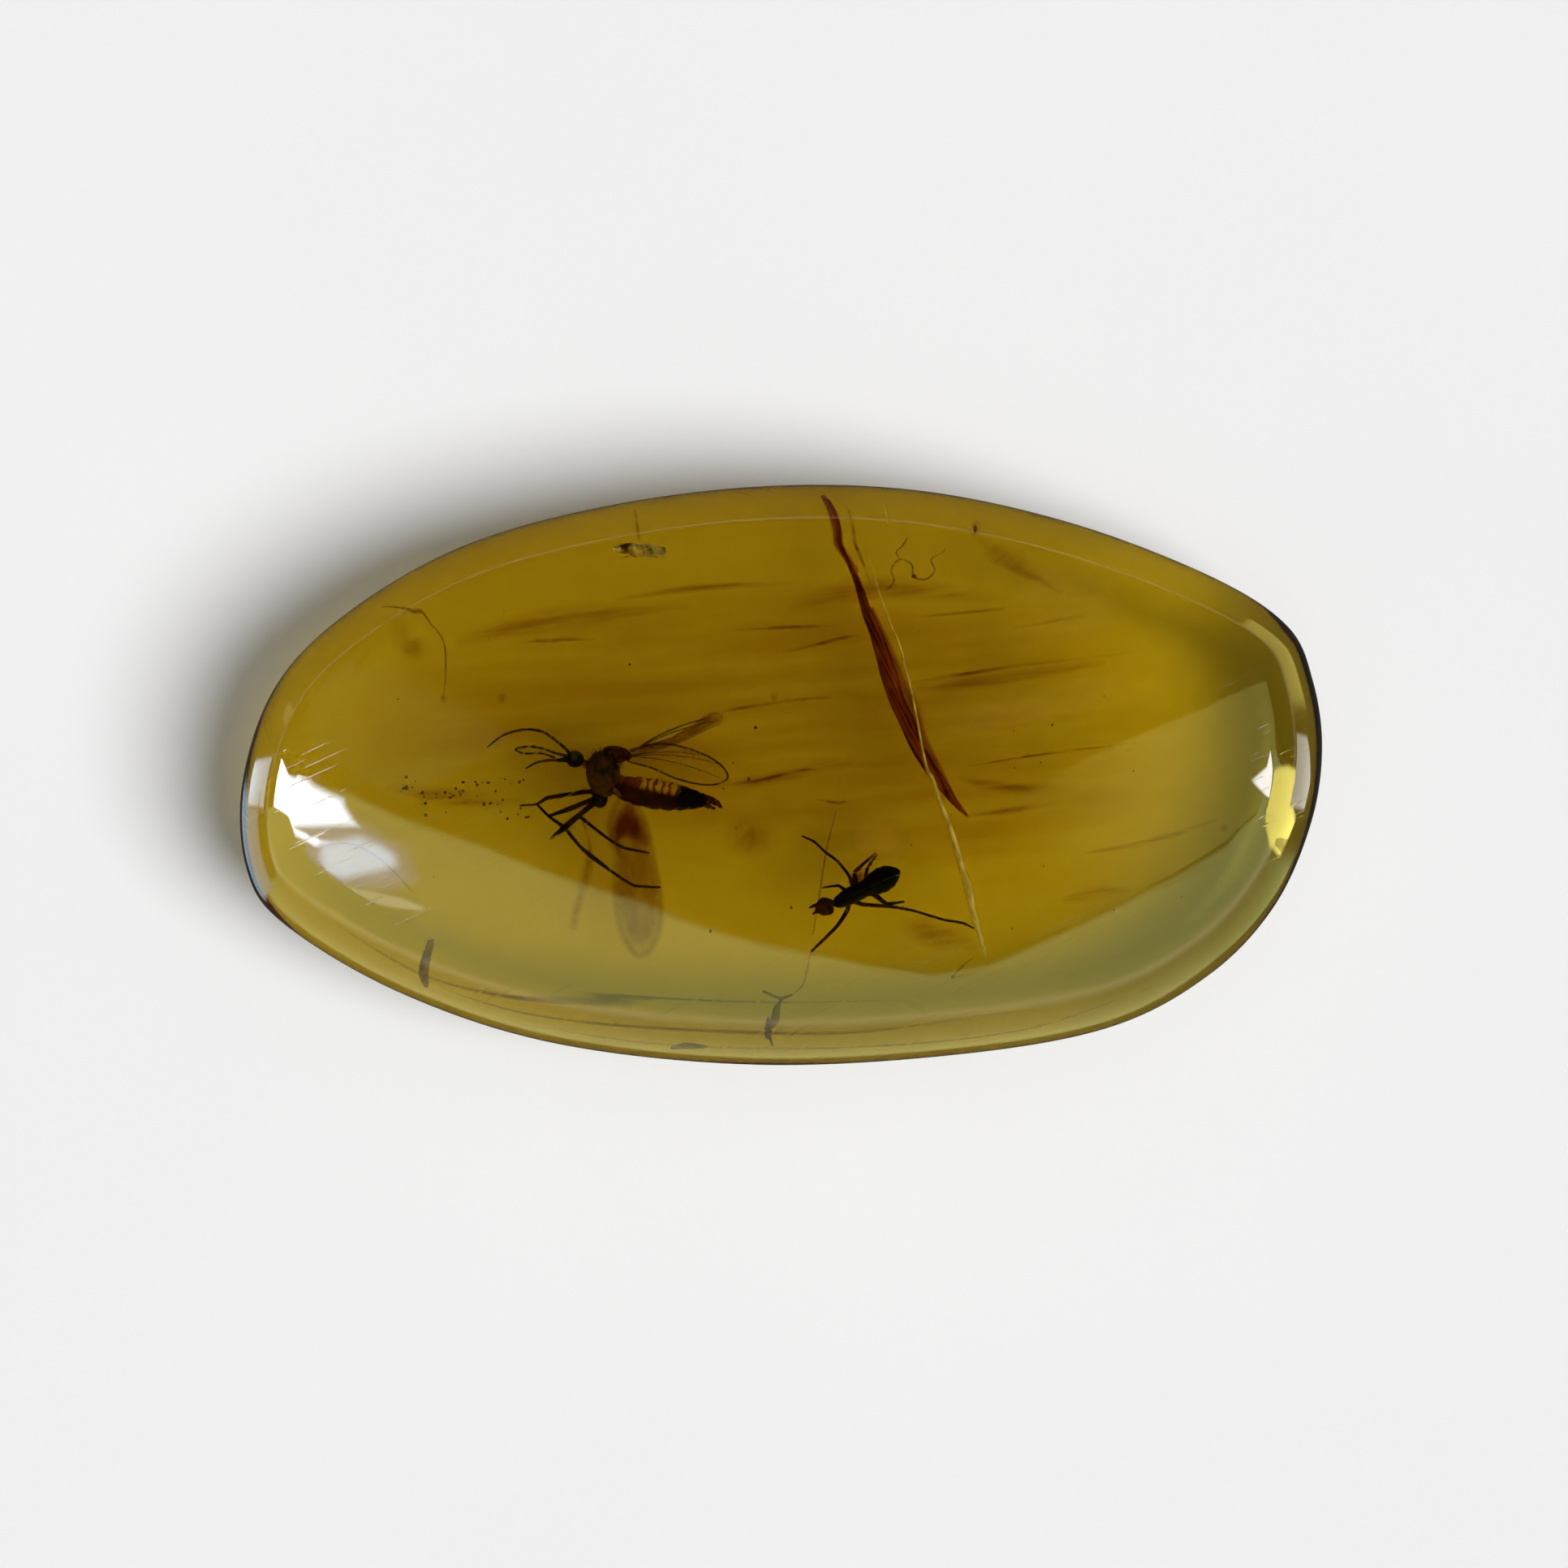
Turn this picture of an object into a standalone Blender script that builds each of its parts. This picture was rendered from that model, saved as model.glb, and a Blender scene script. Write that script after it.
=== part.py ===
"""Insects in amber: a polished, slightly lopsided amber cabochon with a long-legged gnat, an ant,
a plant splinter, a few crumbs of debris and a thin brown flow layer sealed inside it.

Units are metres, +Z is up, and the origin is at the middle of the flat base.
+X runs along the stone, towards its blunter end, and +Y runs across it.
The clear stone is parted in two at the level of the insects, so that each inclusion lies in a
pocket that is open at the parting.  The flow layer lies in a slot over the insects, which opens
into the gnat's pocket.  Every gap between neighbours is at least GAP.
"""

import math

import bmesh
import bpy
from mathutils import Vector

MM = 0.001

# --- The stone, in millimetres ---------------------------------------------------------------
THICKNESS = 6.0          # base to the crown of the dome
GIRTH_HEIGHT = 2.7       # height of the widest outline above the base
CROWN_ROUNDING = 1.6     # width of the rounded shoulder above the girth
BASE_ROUNDING = 3.0      # width of the rounded underside between the girth and the flat base
DOME_FALL_ENDS = 1.15    # how far the dome has dropped at the two ends
DOME_FALL_SIDES = 0.75   # how far the dome has dropped at the two long sides
HALF_LENGTH = 13.0
HALF_WIDTH = 6.95
STONE_SEGMENTS = 56
STONE_RINGS = 24

# Girth outline seen from above, counter-clockwise from the blunt end; a smooth curve joins them.
GIRTH_OUTLINE = [
    (13.00, 0.60), (12.78, 2.26), (12.15, 3.60), (10.30, 4.79), (6.90, 6.08), (3.20, 6.85),
    (-0.60, 6.93), (-4.50, 6.40), (-7.80, 5.43), (-10.50, 3.83), (-12.15, 2.10),
    (-12.93, -0.20), (-12.82, -2.28), (-11.90, -3.60), (-9.10, -5.25), (-5.40, -6.45),
    (-0.60, -6.96), (4.20, -6.72), (7.90, -6.06), (10.30, -4.79), (11.85, -3.15), (12.72, -1.20),
]

# --- The parting and its pockets, in millimetres ----------------------------------------------
PARTING_HEIGHT = 3.0
GAP = 0.3                # between the two halves, and from an inclusion to its pocket
CUTTER_SIZE = 40.0

# --- The gnat, in millimetres: (x, y, z) joints with z measured from the parting ---------------
GNAT_HEAD = ((-4.83, 0.37, 0.15), (0.21, 0.20, 0.19), 0.0)
GNAT_THORAX = ((-4.17, 0.02, 0.08), (0.41, 0.56, 0.42), 8.0)
GNAT_HIPS = ((-4.25, -0.52, 0.0), (0.20, 0.26, 0.20), 0.0)
GNAT_WING_ROOT = ((-3.84, 0.50, 0.12), (0.38, 0.19, 0.18), -12.0)

# Each limb is a list of joints (x, y, z) and the radius at each of them.
GNAT_NECK = ([(-4.85, 0.36, 0.15), (-4.60, 0.28, 0.13), (-4.35, 0.15, 0.08)], [0.08, 0.07, 0.14])
GNAT_SNOUT = ([(-4.90, 0.37, 0.15), (-5.08, 0.36, 0.12), (-5.24, 0.35, 0.08)], [0.12, 0.06, 0.035])
GNAT_ABDOMEN = (
    [(-3.98, -0.14, 0.06), (-3.72, -0.28, 0.04), (-3.42, -0.36, 0.03), (-3.02, -0.43, 0.02),
     (-2.58, -0.50, 0.02), (-2.22, -0.55, 0.02), (-1.95, -0.58, 0.03), (-1.76, -0.60, 0.04)],
    [0.20, 0.27, 0.33, 0.36, 0.33, 0.27, 0.20, 0.17],
)
GNAT_CLASPERS = [
    ([(-1.85, -0.56, 0.06), (-1.66, -0.58, 0.08), (-1.50, -0.66, 0.08), (-1.40, -0.75, 0.06)],
     [0.12, 0.09, 0.07, 0.03]),
    ([(-1.85, -0.62, -0.02), (-1.70, -0.72, -0.06), (-1.55, -0.78, -0.06)], [0.11, 0.06, 0.025]),
]
GNAT_ANTENNAE = [
    ([(-4.90, 0.44, 0.20), (-5.08, 0.64, 0.25), (-5.36, 0.86, 0.30), (-5.61, 1.01, 0.32),
      (-6.03, 1.05, 0.34), (-6.50, 0.92, 0.34), (-6.88, 0.64, 0.32)],
     [0.05, 0.04, 0.035, 0.035, 0.03, 0.03, 0.02]),
    ([(-4.92, 0.42, 0.12), (-5.27, 0.47, 0.08), (-5.55, 0.55, 0.06), (-5.90, 0.60, 0.04),
      (-6.22, 0.54, 0.02)],
     [0.05, 0.04, 0.035, 0.03, 0.02]),
]
GNAT_PALP = ([(-4.95, 0.34, 0.08), (-5.45, 0.34, 0.0), (-5.74, 0.28, -0.05), (-5.99, 0.15, -0.08)],
             [0.05, 0.035, 0.03, 0.02])
GNAT_LEGS = [
    # Two folded front legs, thighs first.
    ([(-4.28, -0.38, 0.06), (-4.62, -0.40, 0.16), (-5.46, -0.53, 0.20), (-5.72, -0.68, 0.16),
      (-6.12, -0.71, 0.10)],
     [0.08, 0.07, 0.055, 0.035, 0.02]),
    ([(-4.25, -0.52, 0.0), (-4.55, -0.62, 0.02), (-4.97, -0.79, 0.02), (-5.46, -0.96, -0.02)],
     [0.09, 0.075, 0.06, 0.04]),
    # The thick middle leg.
    ([(-4.30, -0.58, -0.05), (-4.70, -0.90, -0.12), (-5.08, -1.22, -0.14), (-5.41, -1.48, -0.12)],
     [0.09, 0.08, 0.075, 0.04]),
    # The long hind shin and foot, from the knee by the front leg's tip.
    ([(-5.72, -0.68, 0.14), (-5.43, -0.97, -0.02), (-5.08, -1.22, -0.14), (-4.72, -1.65, -0.20),
      (-4.42, -1.90, -0.22), (-3.97, -2.23, -0.20), (-3.46, -2.55, -0.16), (-2.84, -2.59, -0.12)],
     [0.035, 0.045, 0.06, 0.05, 0.065, 0.045, 0.045, 0.03]),
    # The shorter hind leg.
    ([(-4.75, -0.94, -0.12), (-4.55, -1.10, -0.16), (-4.09, -1.45, -0.20), (-3.70, -1.68, -0.20),
      (-3.10, -1.80, -0.18)],
     [0.055, 0.05, 0.045, 0.045, 0.03]),
    # The hanging leg, deeper in the stone.
    ([(-4.66, -1.02, -0.14), (-4.50, -1.60, -0.42), (-4.55, -2.20, -0.66), (-4.92, -3.50, -0.90)],
     [0.05, 0.05, 0.06, 0.04]),
]

# Each wing is an outline about its root, the root, and the blade's tilt about X and Y.
WING_THICKNESS = 0.06
WINGS = {
    "raised_wing": (
        [(0.00, 0.06), (-0.02, -0.10), (0.50, -0.02), (1.20, 0.22), (1.85, 0.52), (2.12, 0.66),
         (2.14, 0.84), (1.86, 0.90), (1.40, 0.62), (0.75, 0.26)],
        (-3.50, 0.54, 0.14), 0.0, -6.0),
    "side_wing": (
        [(0.00, 0.10), (0.02, -0.12), (0.58, -0.28), (1.20, -0.55), (1.85, -0.68), (2.26, -0.62),
         (2.38, -0.42), (2.05, -0.08), (1.42, 0.18), (0.83, 0.29), (0.35, 0.22)],
        (-3.60, 0.44, 0.06), 0.0, 4.0),
    "hanging_wing": (
        [(0.10, 0.10), (-0.14, 0.04), (-0.40, -0.62), (-0.24, -1.30), (-0.25, -2.30),
         (-0.12, -3.12), (0.14, -3.60), (0.42, -3.68), (0.64, -3.42), (0.80, -2.90),
         (0.76, -2.10), (0.62, -1.30), (0.40, -0.40)],
        (-3.64, -0.58, -0.10), 13.0, 0.0),
}
GNAT_POCKET = [
    (-7.40, 0.50), (-6.70, 1.40), (-5.00, 1.50), (-3.80, 1.20), (-1.60, 1.85), (-0.85, 1.30),
    (-0.80, -0.30), (-1.20, -1.20), (-2.30, -1.70), (-2.25, -3.20), (-2.50, -4.60),
    (-3.70, -4.85), (-5.35, -4.05), (-5.30, -2.20), (-6.60, -1.20),
]
GNAT_POCKET_TOP = 1.00
GNAT_POCKET_FLOOR = 1.40

# --- The ant, in millimetres --------------------------------------------------------------------
ANT_HEAD = ((1.04, -3.03, 0.02), (0.24, 0.22, 0.20), 20.0)
ANT_THORAX = ((1.76, -2.72, 0.02), (0.52, 0.23, 0.21), 26.0)
ANT_ABDOMEN = ((2.32, -2.45, 0.04), (0.47, 0.30, 0.29), 28.0)
ANT_NECK = ([(1.10, -3.01, 0.02), (1.30, -2.93, 0.02), (1.50, -2.84, 0.02)], [0.08, 0.06, 0.10])
ANT_JAWS = [
    ([(0.95, -3.03, 0.02), (0.80, -3.01, 0.02), (0.68, -3.06, 0.02)], [0.08, 0.05, 0.02]),
    ([(0.95, -3.10, 0.02), (0.84, -3.15, 0.0), (0.76, -3.20, 0.0)], [0.07, 0.04, 0.02]),
]
ANT_LEGS = [
    ([(1.72, -2.62, 0.06), (1.61, -2.32, 0.18), (1.34, -1.99, 0.24), (1.05, -1.78, 0.24),
      (0.79, -1.54, 0.20), (0.50, -1.41, 0.16)],
     [0.06, 0.045, 0.035, 0.03, 0.03, 0.02]),
    ([(1.60, -2.72, 0.0), (1.36, -2.55, 0.10), (0.98, -2.60, 0.10)], [0.05, 0.035, 0.02]),
    ([(1.80, -2.62, -0.02), (1.74, -2.26, -0.14), (1.95, -2.05, -0.20), (2.24, -1.80, -0.20)],
     [0.08, 0.06, 0.045, 0.03]),
    ([(1.98, -2.52, 0.06), (2.04, -2.16, 0.18), (2.26, -1.84, 0.22)], [0.06, 0.045, 0.03]),
    ([(2.05, -2.60, 0.0), (2.22, -2.76, 0.06), (2.50, -2.97, 0.10), (2.90, -2.92, 0.10)],
     [0.08, 0.07, 0.045, 0.025]),
    ([(1.66, -2.85, -0.02), (1.92, -2.98, -0.10), (2.58, -3.03, -0.16), (3.11, -3.12, -0.18),
      (3.82, -3.33, -0.18), (4.29, -3.41, -0.16), (4.54, -3.53, -0.14)],
     [0.08, 0.06, 0.045, 0.035, 0.03, 0.03, 0.02]),
    ([(1.60, -2.85, -0.04), (1.58, -3.10, -0.12), (1.33, -3.48, -0.20), (0.73, -4.06, -0.22)],
     [0.08, 0.055, 0.05, 0.03]),
]
ANT_POCKET = [
    (0.05, -1.10), (1.20, -1.20), (2.70, -1.40), (3.10, -2.30), (4.60, -3.00), (5.00, -3.60),
    (4.30, -3.95), (2.20, -3.55), (1.00, -4.50), (0.30, -4.30), (0.25, -3.20), (0.35, -2.20),
]
ANT_POCKET_DEPTH = 0.75

# --- Plant and bark debris, in millimetres ---------------------------------------------------
PLANT_SPLINTER = (
    [(1.08, 5.85, 0.20), (1.30, 5.40, 0.20), (1.58, 5.00, 0.16), (1.86, 4.50, 0.12),
     (2.06, 3.70, 0.08), (2.32, 3.00, 0.04), (2.50, 2.39, 0.02), (2.70, 1.80, 0.0),
     (2.98, 1.20, -0.02), (3.20, 0.68, -0.04), (3.46, 0.24, -0.06), (3.80, -0.22, -0.08),
     (4.12, -0.66, -0.10), (4.40, -0.96, -0.12)],
    [0.05, 0.06, 0.07, 0.09, 0.12, 0.14, 0.17, 0.20, 0.20, 0.12, 0.12, 0.14, 0.11, 0.03],
)
LEG_FRAGMENT = [
    ([(-0.42, -4.98, 0.10), (-0.16, -5.10, 0.06), (0.02, -5.16, 0.02)], [0.04, 0.04, 0.045]),
    ([(0.27, -5.07, 0.0), (0.02, -5.16, 0.02), (-0.06, -5.30, 0.02), (-0.28, -5.39, 0.0),
      (-0.24, -5.50, -0.04), (-0.18, -5.62, -0.06)],
     [0.02, 0.045, 0.055, 0.08, 0.03, 0.02]),
]
FRAGMENT_POCKET = ((-0.08, -5.28, 0.0), (0.96, 0.82, 0.60), 0.0)
TWIG_CHIP = ([(-8.22, -3.82, 0.06), (-8.20, -4.05, 0.02), (-8.13, -4.30, -0.02)],
             [0.05, 0.08, 0.05])
BARK_CRUMB = ([(-2.52, -5.72, 0.0), (-2.20, -5.66, 0.02), (-1.70, -5.66, 0.0)],
              [0.05, 0.09, 0.03])
BARK_FLECK = ([(-3.95, 4.84, 0.0), (-3.50, 4.93, 0.04), (-3.10, 5.00, 0.06), (-2.74, 5.03, 0.04)],
              [0.03, 0.07, 0.09, 0.04])

# --- The flow layer between two runs of resin, in millimetres --------------------------------
FLOW_LAYER = [
    (10.6, 0.6), (10.0, 2.6), (7.6, 4.2), (3.2, 5.1), (-0.6, 5.2), (-4.5, 4.8), (-7.8, 3.9),
    (-10.0, 2.4), (-10.9, 0.2), (-9.0, -0.6), (-4.5, -1.6), (0.0, -2.4), (4.5, -3.4),
    (8.4, -3.0), (10.2, -1.2),
]
FLOW_LAYER_HEIGHT = 1.20        # above the parting
FLOW_LAYER_THICKNESS = 0.10
FLOW_SLOT_MARGIN = 0.35         # from the layer to its slot, on every side

# --- Colours, sRGB in 0 to 1 ------------------------------------------------------------------
AMBER_COLOUR = (0.78, 0.55, 0.08)
GNAT_COLOUR = (0.22, 0.11, 0.05)
ANT_COLOUR = (0.05, 0.03, 0.02)
SPLINTER_COLOUR = (0.36, 0.16, 0.03)
DEBRIS_COLOUR = (0.20, 0.13, 0.05)
FLOW_COLOUR = (0.60, 0.36, 0.06)


def clear_scene():
    """Remove every object, so that nothing of the startup file is left."""
    for scene_object in list(bpy.data.objects):
        bpy.data.objects.remove(scene_object, do_unlink=True)


def make_collection(name):
    """Return a new collection linked to the scene."""
    collection = bpy.data.collections.new(name)
    bpy.context.scene.collection.children.link(collection)
    return collection


def make_material(name, colour, roughness, alpha=1.0):
    """Return a Principled material of one colour, see-through where alpha is under 1."""
    material = bpy.data.materials.new(name)
    material.use_nodes = True
    shader = material.node_tree.nodes["Principled BSDF"]
    shader.inputs["Base Color"].default_value = (*[channel ** 2.2 for channel in colour], 1.0)
    shader.inputs["Roughness"].default_value = roughness
    shader.inputs["Alpha"].default_value = alpha
    return material


def add_object(name, mesh, collection, material=None):
    """Link a new object for the mesh, with its one material."""
    new_object = bpy.data.objects.new(name, mesh)
    collection.objects.link(new_object)
    if material is not None:
        mesh.materials.append(material)
    return new_object


def smooth_loop_point(points, turn):
    """Return the point at turn (0 to 1) of the closed smooth curve through the points."""
    position = (turn % 1.0) * len(points)
    start = math.floor(position)
    step = position - start
    before, first, second, after = (
        Vector(points[(start + offset) % len(points)]) for offset in (-1, 0, 1, 2))
    return 0.5 * (2 * first + (second - before) * step
                  + (2 * before - 5 * first + 4 * second - after) * step ** 2
                  + (3 * first - before - 3 * second + after) * step ** 3)


def dome_height(x, y):
    """Return the height of the polished dome over a point of the plan."""
    return (THICKNESS - DOME_FALL_ENDS * (abs(x) / HALF_LENGTH) ** 2.6
            - DOME_FALL_SIDES * (abs(y) / HALF_WIDTH) ** 2.2)


def stone_point(turn, latitude):
    """Return the stone's surface point for a turn round the girth and a latitude of -1 to 1.

    The half of the latitudes next to the girth make the rounded shoulder, and the rest run in
    over the dome or the flat base to the middle.  The wide underside is drawn in towards the
    middle of the stone, and the narrow crown shoulder square to the girth.
    """
    girth = smooth_loop_point(GIRTH_OUTLINE, turn)
    rounding = BASE_ROUNDING
    outward = girth.normalized()
    if latitude >= 0:
        along = smooth_loop_point(GIRTH_OUTLINE, turn + 0.004) - smooth_loop_point(
            GIRTH_OUTLINE, turn - 0.004)
        rounding = CROWN_ROUNDING
        outward = Vector((along.y, -along.x)).normalized()
    reach = abs(latitude)
    if reach <= 0.5:
        bend = reach * math.pi
        plan = girth - outward * rounding * (1 - math.cos(bend))
        rise = math.sin(bend)
    else:
        plan = (girth - outward * rounding) * (2 - 2 * reach)
        rise = 1.0
    if latitude >= 0:
        height = GIRTH_HEIGHT + (dome_height(plan.x, plan.y) - GIRTH_HEIGHT) * rise
    else:
        height = GIRTH_HEIGHT * (1 - rise)
    return Vector((plan.x, plan.y, height)) * MM


def build_stone(name, collection, material):
    """Return the whole stone: a sphere whose rings are drawn out to the cabochon's form."""
    mesh = bpy.data.meshes.new(name)
    shape = bmesh.new()
    bmesh.ops.create_uvsphere(shape, u_segments=STONE_SEGMENTS, v_segments=STONE_RINGS, radius=1.0)
    for vertex in shape.verts:
        latitude = math.asin(max(-1.0, min(1.0, vertex.co.z))) / (math.pi / 2)
        turn = math.atan2(vertex.co.y, vertex.co.x) / (2 * math.pi)
        vertex.co = stone_point(turn, latitude)
    bmesh.ops.recalc_face_normals(shape, faces=shape.faces)
    shape.to_mesh(mesh)
    shape.free()
    mesh.shade_smooth()
    return add_object(name, mesh, collection, material)


def build_ellipsoid(name, spec, collection, material=None, segments=12, rings=8):
    """Return an ellipsoid from its (centre, half sizes, turn about Z in degrees)."""
    centre, half_sizes, turn = spec
    mesh = bpy.data.meshes.new(name)
    shape = bmesh.new()
    bmesh.ops.create_uvsphere(shape, u_segments=segments, v_segments=rings, radius=MM)
    bmesh.ops.scale(shape, vec=Vector(half_sizes), verts=shape.verts)
    shape.to_mesh(mesh)
    shape.free()
    mesh.shade_smooth()
    body = add_object(name, mesh, collection, material)
    body.location = Vector((centre[0], centre[1], PARTING_HEIGHT + centre[2])) * MM
    body.rotation_euler.z = math.radians(turn)
    return body


def curve_to_mesh_object(curve_object, collection, material=None):
    """Swap a curve object for a welded mesh object of the same name and place."""
    bpy.context.view_layer.update()
    name = curve_object.name
    evaluated = curve_object.evaluated_get(bpy.context.evaluated_depsgraph_get())
    mesh = bpy.data.meshes.new_from_object(evaluated)
    shape = bmesh.new()
    shape.from_mesh(mesh)
    bmesh.ops.remove_doubles(shape, verts=shape.verts, dist=0.000001)
    bmesh.ops.recalc_face_normals(shape, faces=shape.faces)
    shape.to_mesh(mesh)
    shape.free()
    placed = curve_object.matrix_world.copy()
    bpy.data.objects.remove(curve_object, do_unlink=True)
    mesh_object = add_object(name, mesh, collection, material)
    mesh_object.matrix_world = placed
    return mesh_object


def build_limb(name, limb, collection, material=None, extra_radius=0.0, extra_length=0.0):
    """Return a tapering limb through its joints, as a closed mesh.

    The extras fatten and lengthen it, which makes the cutter for a pocket round the same limb.
    """
    joints, radii = limb
    points = [Vector(joint) for joint in joints]
    points[0] += (points[0] - points[1]).normalized() * extra_length
    points[-1] += (points[-1] - points[-2]).normalized() * extra_length
    curve = bpy.data.curves.new(name, "CURVE")
    curve.dimensions = "3D"
    curve.bevel_depth = MM
    curve.bevel_resolution = 2
    curve.use_fill_caps = True
    spline = curve.splines.new("POLY")
    spline.points.add(len(points) - 1)
    for spline_point, point, radius in zip(spline.points, points, radii):
        spline_point.co = (point.x * MM, point.y * MM, (PARTING_HEIGHT + point.z) * MM, 1.0)
        spline_point.radius = radius + extra_radius
    curve_object = bpy.data.objects.new(name, curve)
    collection.objects.link(curve_object)
    return curve_to_mesh_object(curve_object, collection, material)


def build_plate(name, outline, thickness, collection, place=(0, 0, 0), tilt=(0, 0), round_steps=1,
                material=None, margin=0.0):
    """Return a flat plate with a smooth outline, placed by its own origin and tilted.

    The margin moves the outline outwards all round.
    """
    curve = bpy.data.curves.new(name, "CURVE")
    curve.dimensions = "2D"
    curve.fill_mode = "BOTH"
    curve.extrude = thickness / 2 * MM
    curve.offset = margin * MM
    spline = curve.splines.new("POLY")
    count = len(outline) * round_steps
    spline.points.add(count - 1)
    for index, spline_point in enumerate(spline.points):
        point = smooth_loop_point(outline, index / count) * MM
        spline_point.co = (point.x, point.y, 0.0, 1.0)
    spline.use_cyclic_u = True
    curve_object = bpy.data.objects.new(name, curve)
    collection.objects.link(curve_object)
    curve_object.location = Vector((place[0], place[1], PARTING_HEIGHT + place[2])) * MM
    curve_object.rotation_euler = (math.radians(tilt[0]), math.radians(tilt[1]), 0.0)
    return curve_to_mesh_object(curve_object, collection, material)


def hide_tool(tool):
    """Mark a cutter or a joined limb as a guide that isn't part of the object."""
    tool.hide_render = True
    tool.display_type = "WIRE"


def combine(target, tools, operation):
    """Add one exact Boolean modifier to the target for each tool."""
    for tool in tools:
        hide_tool(tool)
        modifier = target.modifiers.new(tool.name, "BOOLEAN")
        modifier.operation = operation
        modifier.solver = "EXACT"
        modifier.object = tool


def build_gnat(parts, tools, material):
    """Return the gnat: thorax, head, abdomen, wings and limbs joined in one solid."""
    gnat = build_ellipsoid("gnat", GNAT_THORAX, parts, material, segments=16, rings=10)
    pieces = [
        build_ellipsoid("gnat_head", GNAT_HEAD, tools),
        build_ellipsoid("gnat_hips", GNAT_HIPS, tools),
        build_ellipsoid("gnat_wing_root", GNAT_WING_ROOT, tools),
        build_limb("gnat_abdomen", GNAT_ABDOMEN, tools),
        build_limb("gnat_neck", GNAT_NECK, tools),
        build_limb("gnat_snout", GNAT_SNOUT, tools),
        build_limb("gnat_palp", GNAT_PALP, tools),
    ]
    for kind, limbs in (("clasper", GNAT_CLASPERS), ("antenna", GNAT_ANTENNAE), ("leg", GNAT_LEGS)):
        for number, limb in enumerate(limbs, start=1):
            pieces.append(build_limb(f"gnat_{kind}_{number}", limb, tools))
    for name, (outline, root, tilt_x, tilt_y) in WINGS.items():
        wing = build_plate(f"gnat_{name}", outline, WING_THICKNESS, tools, root,
                           (tilt_x, tilt_y), round_steps=2)
        pieces.append(wing)
    combine(gnat, pieces, "UNION")
    return gnat


def build_ant(parts, tools, material):
    """Return the ant: three body parts, jaws and legs joined in one solid."""
    ant = build_ellipsoid("ant", ANT_ABDOMEN, parts, material)
    pieces = [
        build_ellipsoid("ant_thorax", ANT_THORAX, tools),
        build_ellipsoid("ant_head", ANT_HEAD, tools),
        build_limb("ant_neck", ANT_NECK, tools),
    ]
    for kind, limbs in (("jaw", ANT_JAWS), ("leg", ANT_LEGS)):
        for number, limb in enumerate(limbs, start=1):
            pieces.append(build_limb(f"ant_{kind}_{number}", limb, tools))
    combine(ant, pieces, "UNION")
    return ant


def build_leg_fragment(parts, tools, material):
    """Return the forked fragment of a leg: a stub and its side branch joined in one solid."""
    fragment = build_limb("leg_fragment", LEG_FRAGMENT[1], parts, material)
    combine(fragment, [build_limb("leg_fragment_branch", LEG_FRAGMENT[0], tools)], "UNION")
    return fragment


def build_pocket_cutters(tools):
    """Return the cutters for every pocket: chambers round the insects and the leg fragment, the
    flow layer's slot, and fat copies of the rest of the debris."""
    gnat_height = GNAT_POCKET_TOP + GNAT_POCKET_FLOOR
    gnat_middle = (GNAT_POCKET_TOP - GNAT_POCKET_FLOOR) / 2
    cutters = [
        build_plate("gnat_pocket", GNAT_POCKET, gnat_height, tools, (0, 0, gnat_middle),
                    round_steps=2),
        build_plate("ant_pocket", ANT_POCKET, 2 * ANT_POCKET_DEPTH, tools, round_steps=2),
        build_ellipsoid("fragment_pocket", FRAGMENT_POCKET, tools),
        build_plate("flow_slot", FLOW_LAYER, FLOW_LAYER_THICKNESS + 2 * FLOW_SLOT_MARGIN, tools,
                    (0, 0, FLOW_LAYER_HEIGHT), round_steps=4, margin=FLOW_SLOT_MARGIN),
    ]
    debris = {
        "splinter": PLANT_SPLINTER,
        "chip": TWIG_CHIP,
        "crumb": BARK_CRUMB,
        "fleck": BARK_FLECK,
    }
    for name, limb in debris.items():
        cutters.append(build_limb(f"{name}_pocket", limb, tools, extra_radius=GAP * 1.15,
                                  extra_length=GAP * 1.15))
    return cutters


def build_amber_half(name, side, pocket_cutters, parts, tools, material):
    """Return one half of the stone; side is +1 above the parting and -1 below it."""
    half = build_stone(name, parts, material)
    mesh = bpy.data.meshes.new(f"{name}_trim")
    shape = bmesh.new()
    bmesh.ops.create_cube(shape, size=CUTTER_SIZE * MM)
    shape.to_mesh(mesh)
    shape.free()
    trim = add_object(f"{name}_trim", mesh, tools)
    trim.location.z = (PARTING_HEIGHT + side * (GAP - CUTTER_SIZE) / 2) * MM
    combine(half, [trim, *pocket_cutters], "DIFFERENCE")
    return half


def main():
    """Build the stone's two halves and everything sealed between them."""
    clear_scene()
    parts = make_collection("insects_in_amber")
    tools = make_collection("cutters")
    amber = make_material("polished_amber", AMBER_COLOUR, 0.03, alpha=0.35)
    build_gnat(parts, tools, make_material("gnat_body", GNAT_COLOUR, 0.4))
    build_ant(parts, tools, make_material("ant_body", ANT_COLOUR, 0.3))
    build_limb("plant_splinter", PLANT_SPLINTER, parts,
               make_material("plant_fibre", SPLINTER_COLOUR, 0.6))
    debris = make_material("bark_debris", DEBRIS_COLOUR, 0.7)
    build_leg_fragment(parts, tools, debris)
    build_limb("twig_chip", TWIG_CHIP, parts, debris)
    build_limb("bark_crumb", BARK_CRUMB, parts, debris)
    build_limb("bark_fleck", BARK_FLECK, parts, debris)
    build_plate("flow_layer", FLOW_LAYER, FLOW_LAYER_THICKNESS, parts, (0, 0, FLOW_LAYER_HEIGHT),
                round_steps=4, material=make_material("flow_layer", FLOW_COLOUR, 0.5, alpha=0.3))
    pocket_cutters = build_pocket_cutters(tools)
    build_amber_half("amber_upper", 1, pocket_cutters, parts, tools, amber)
    build_amber_half("amber_lower", -1, pocket_cutters, parts, tools, amber)


main()
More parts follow.
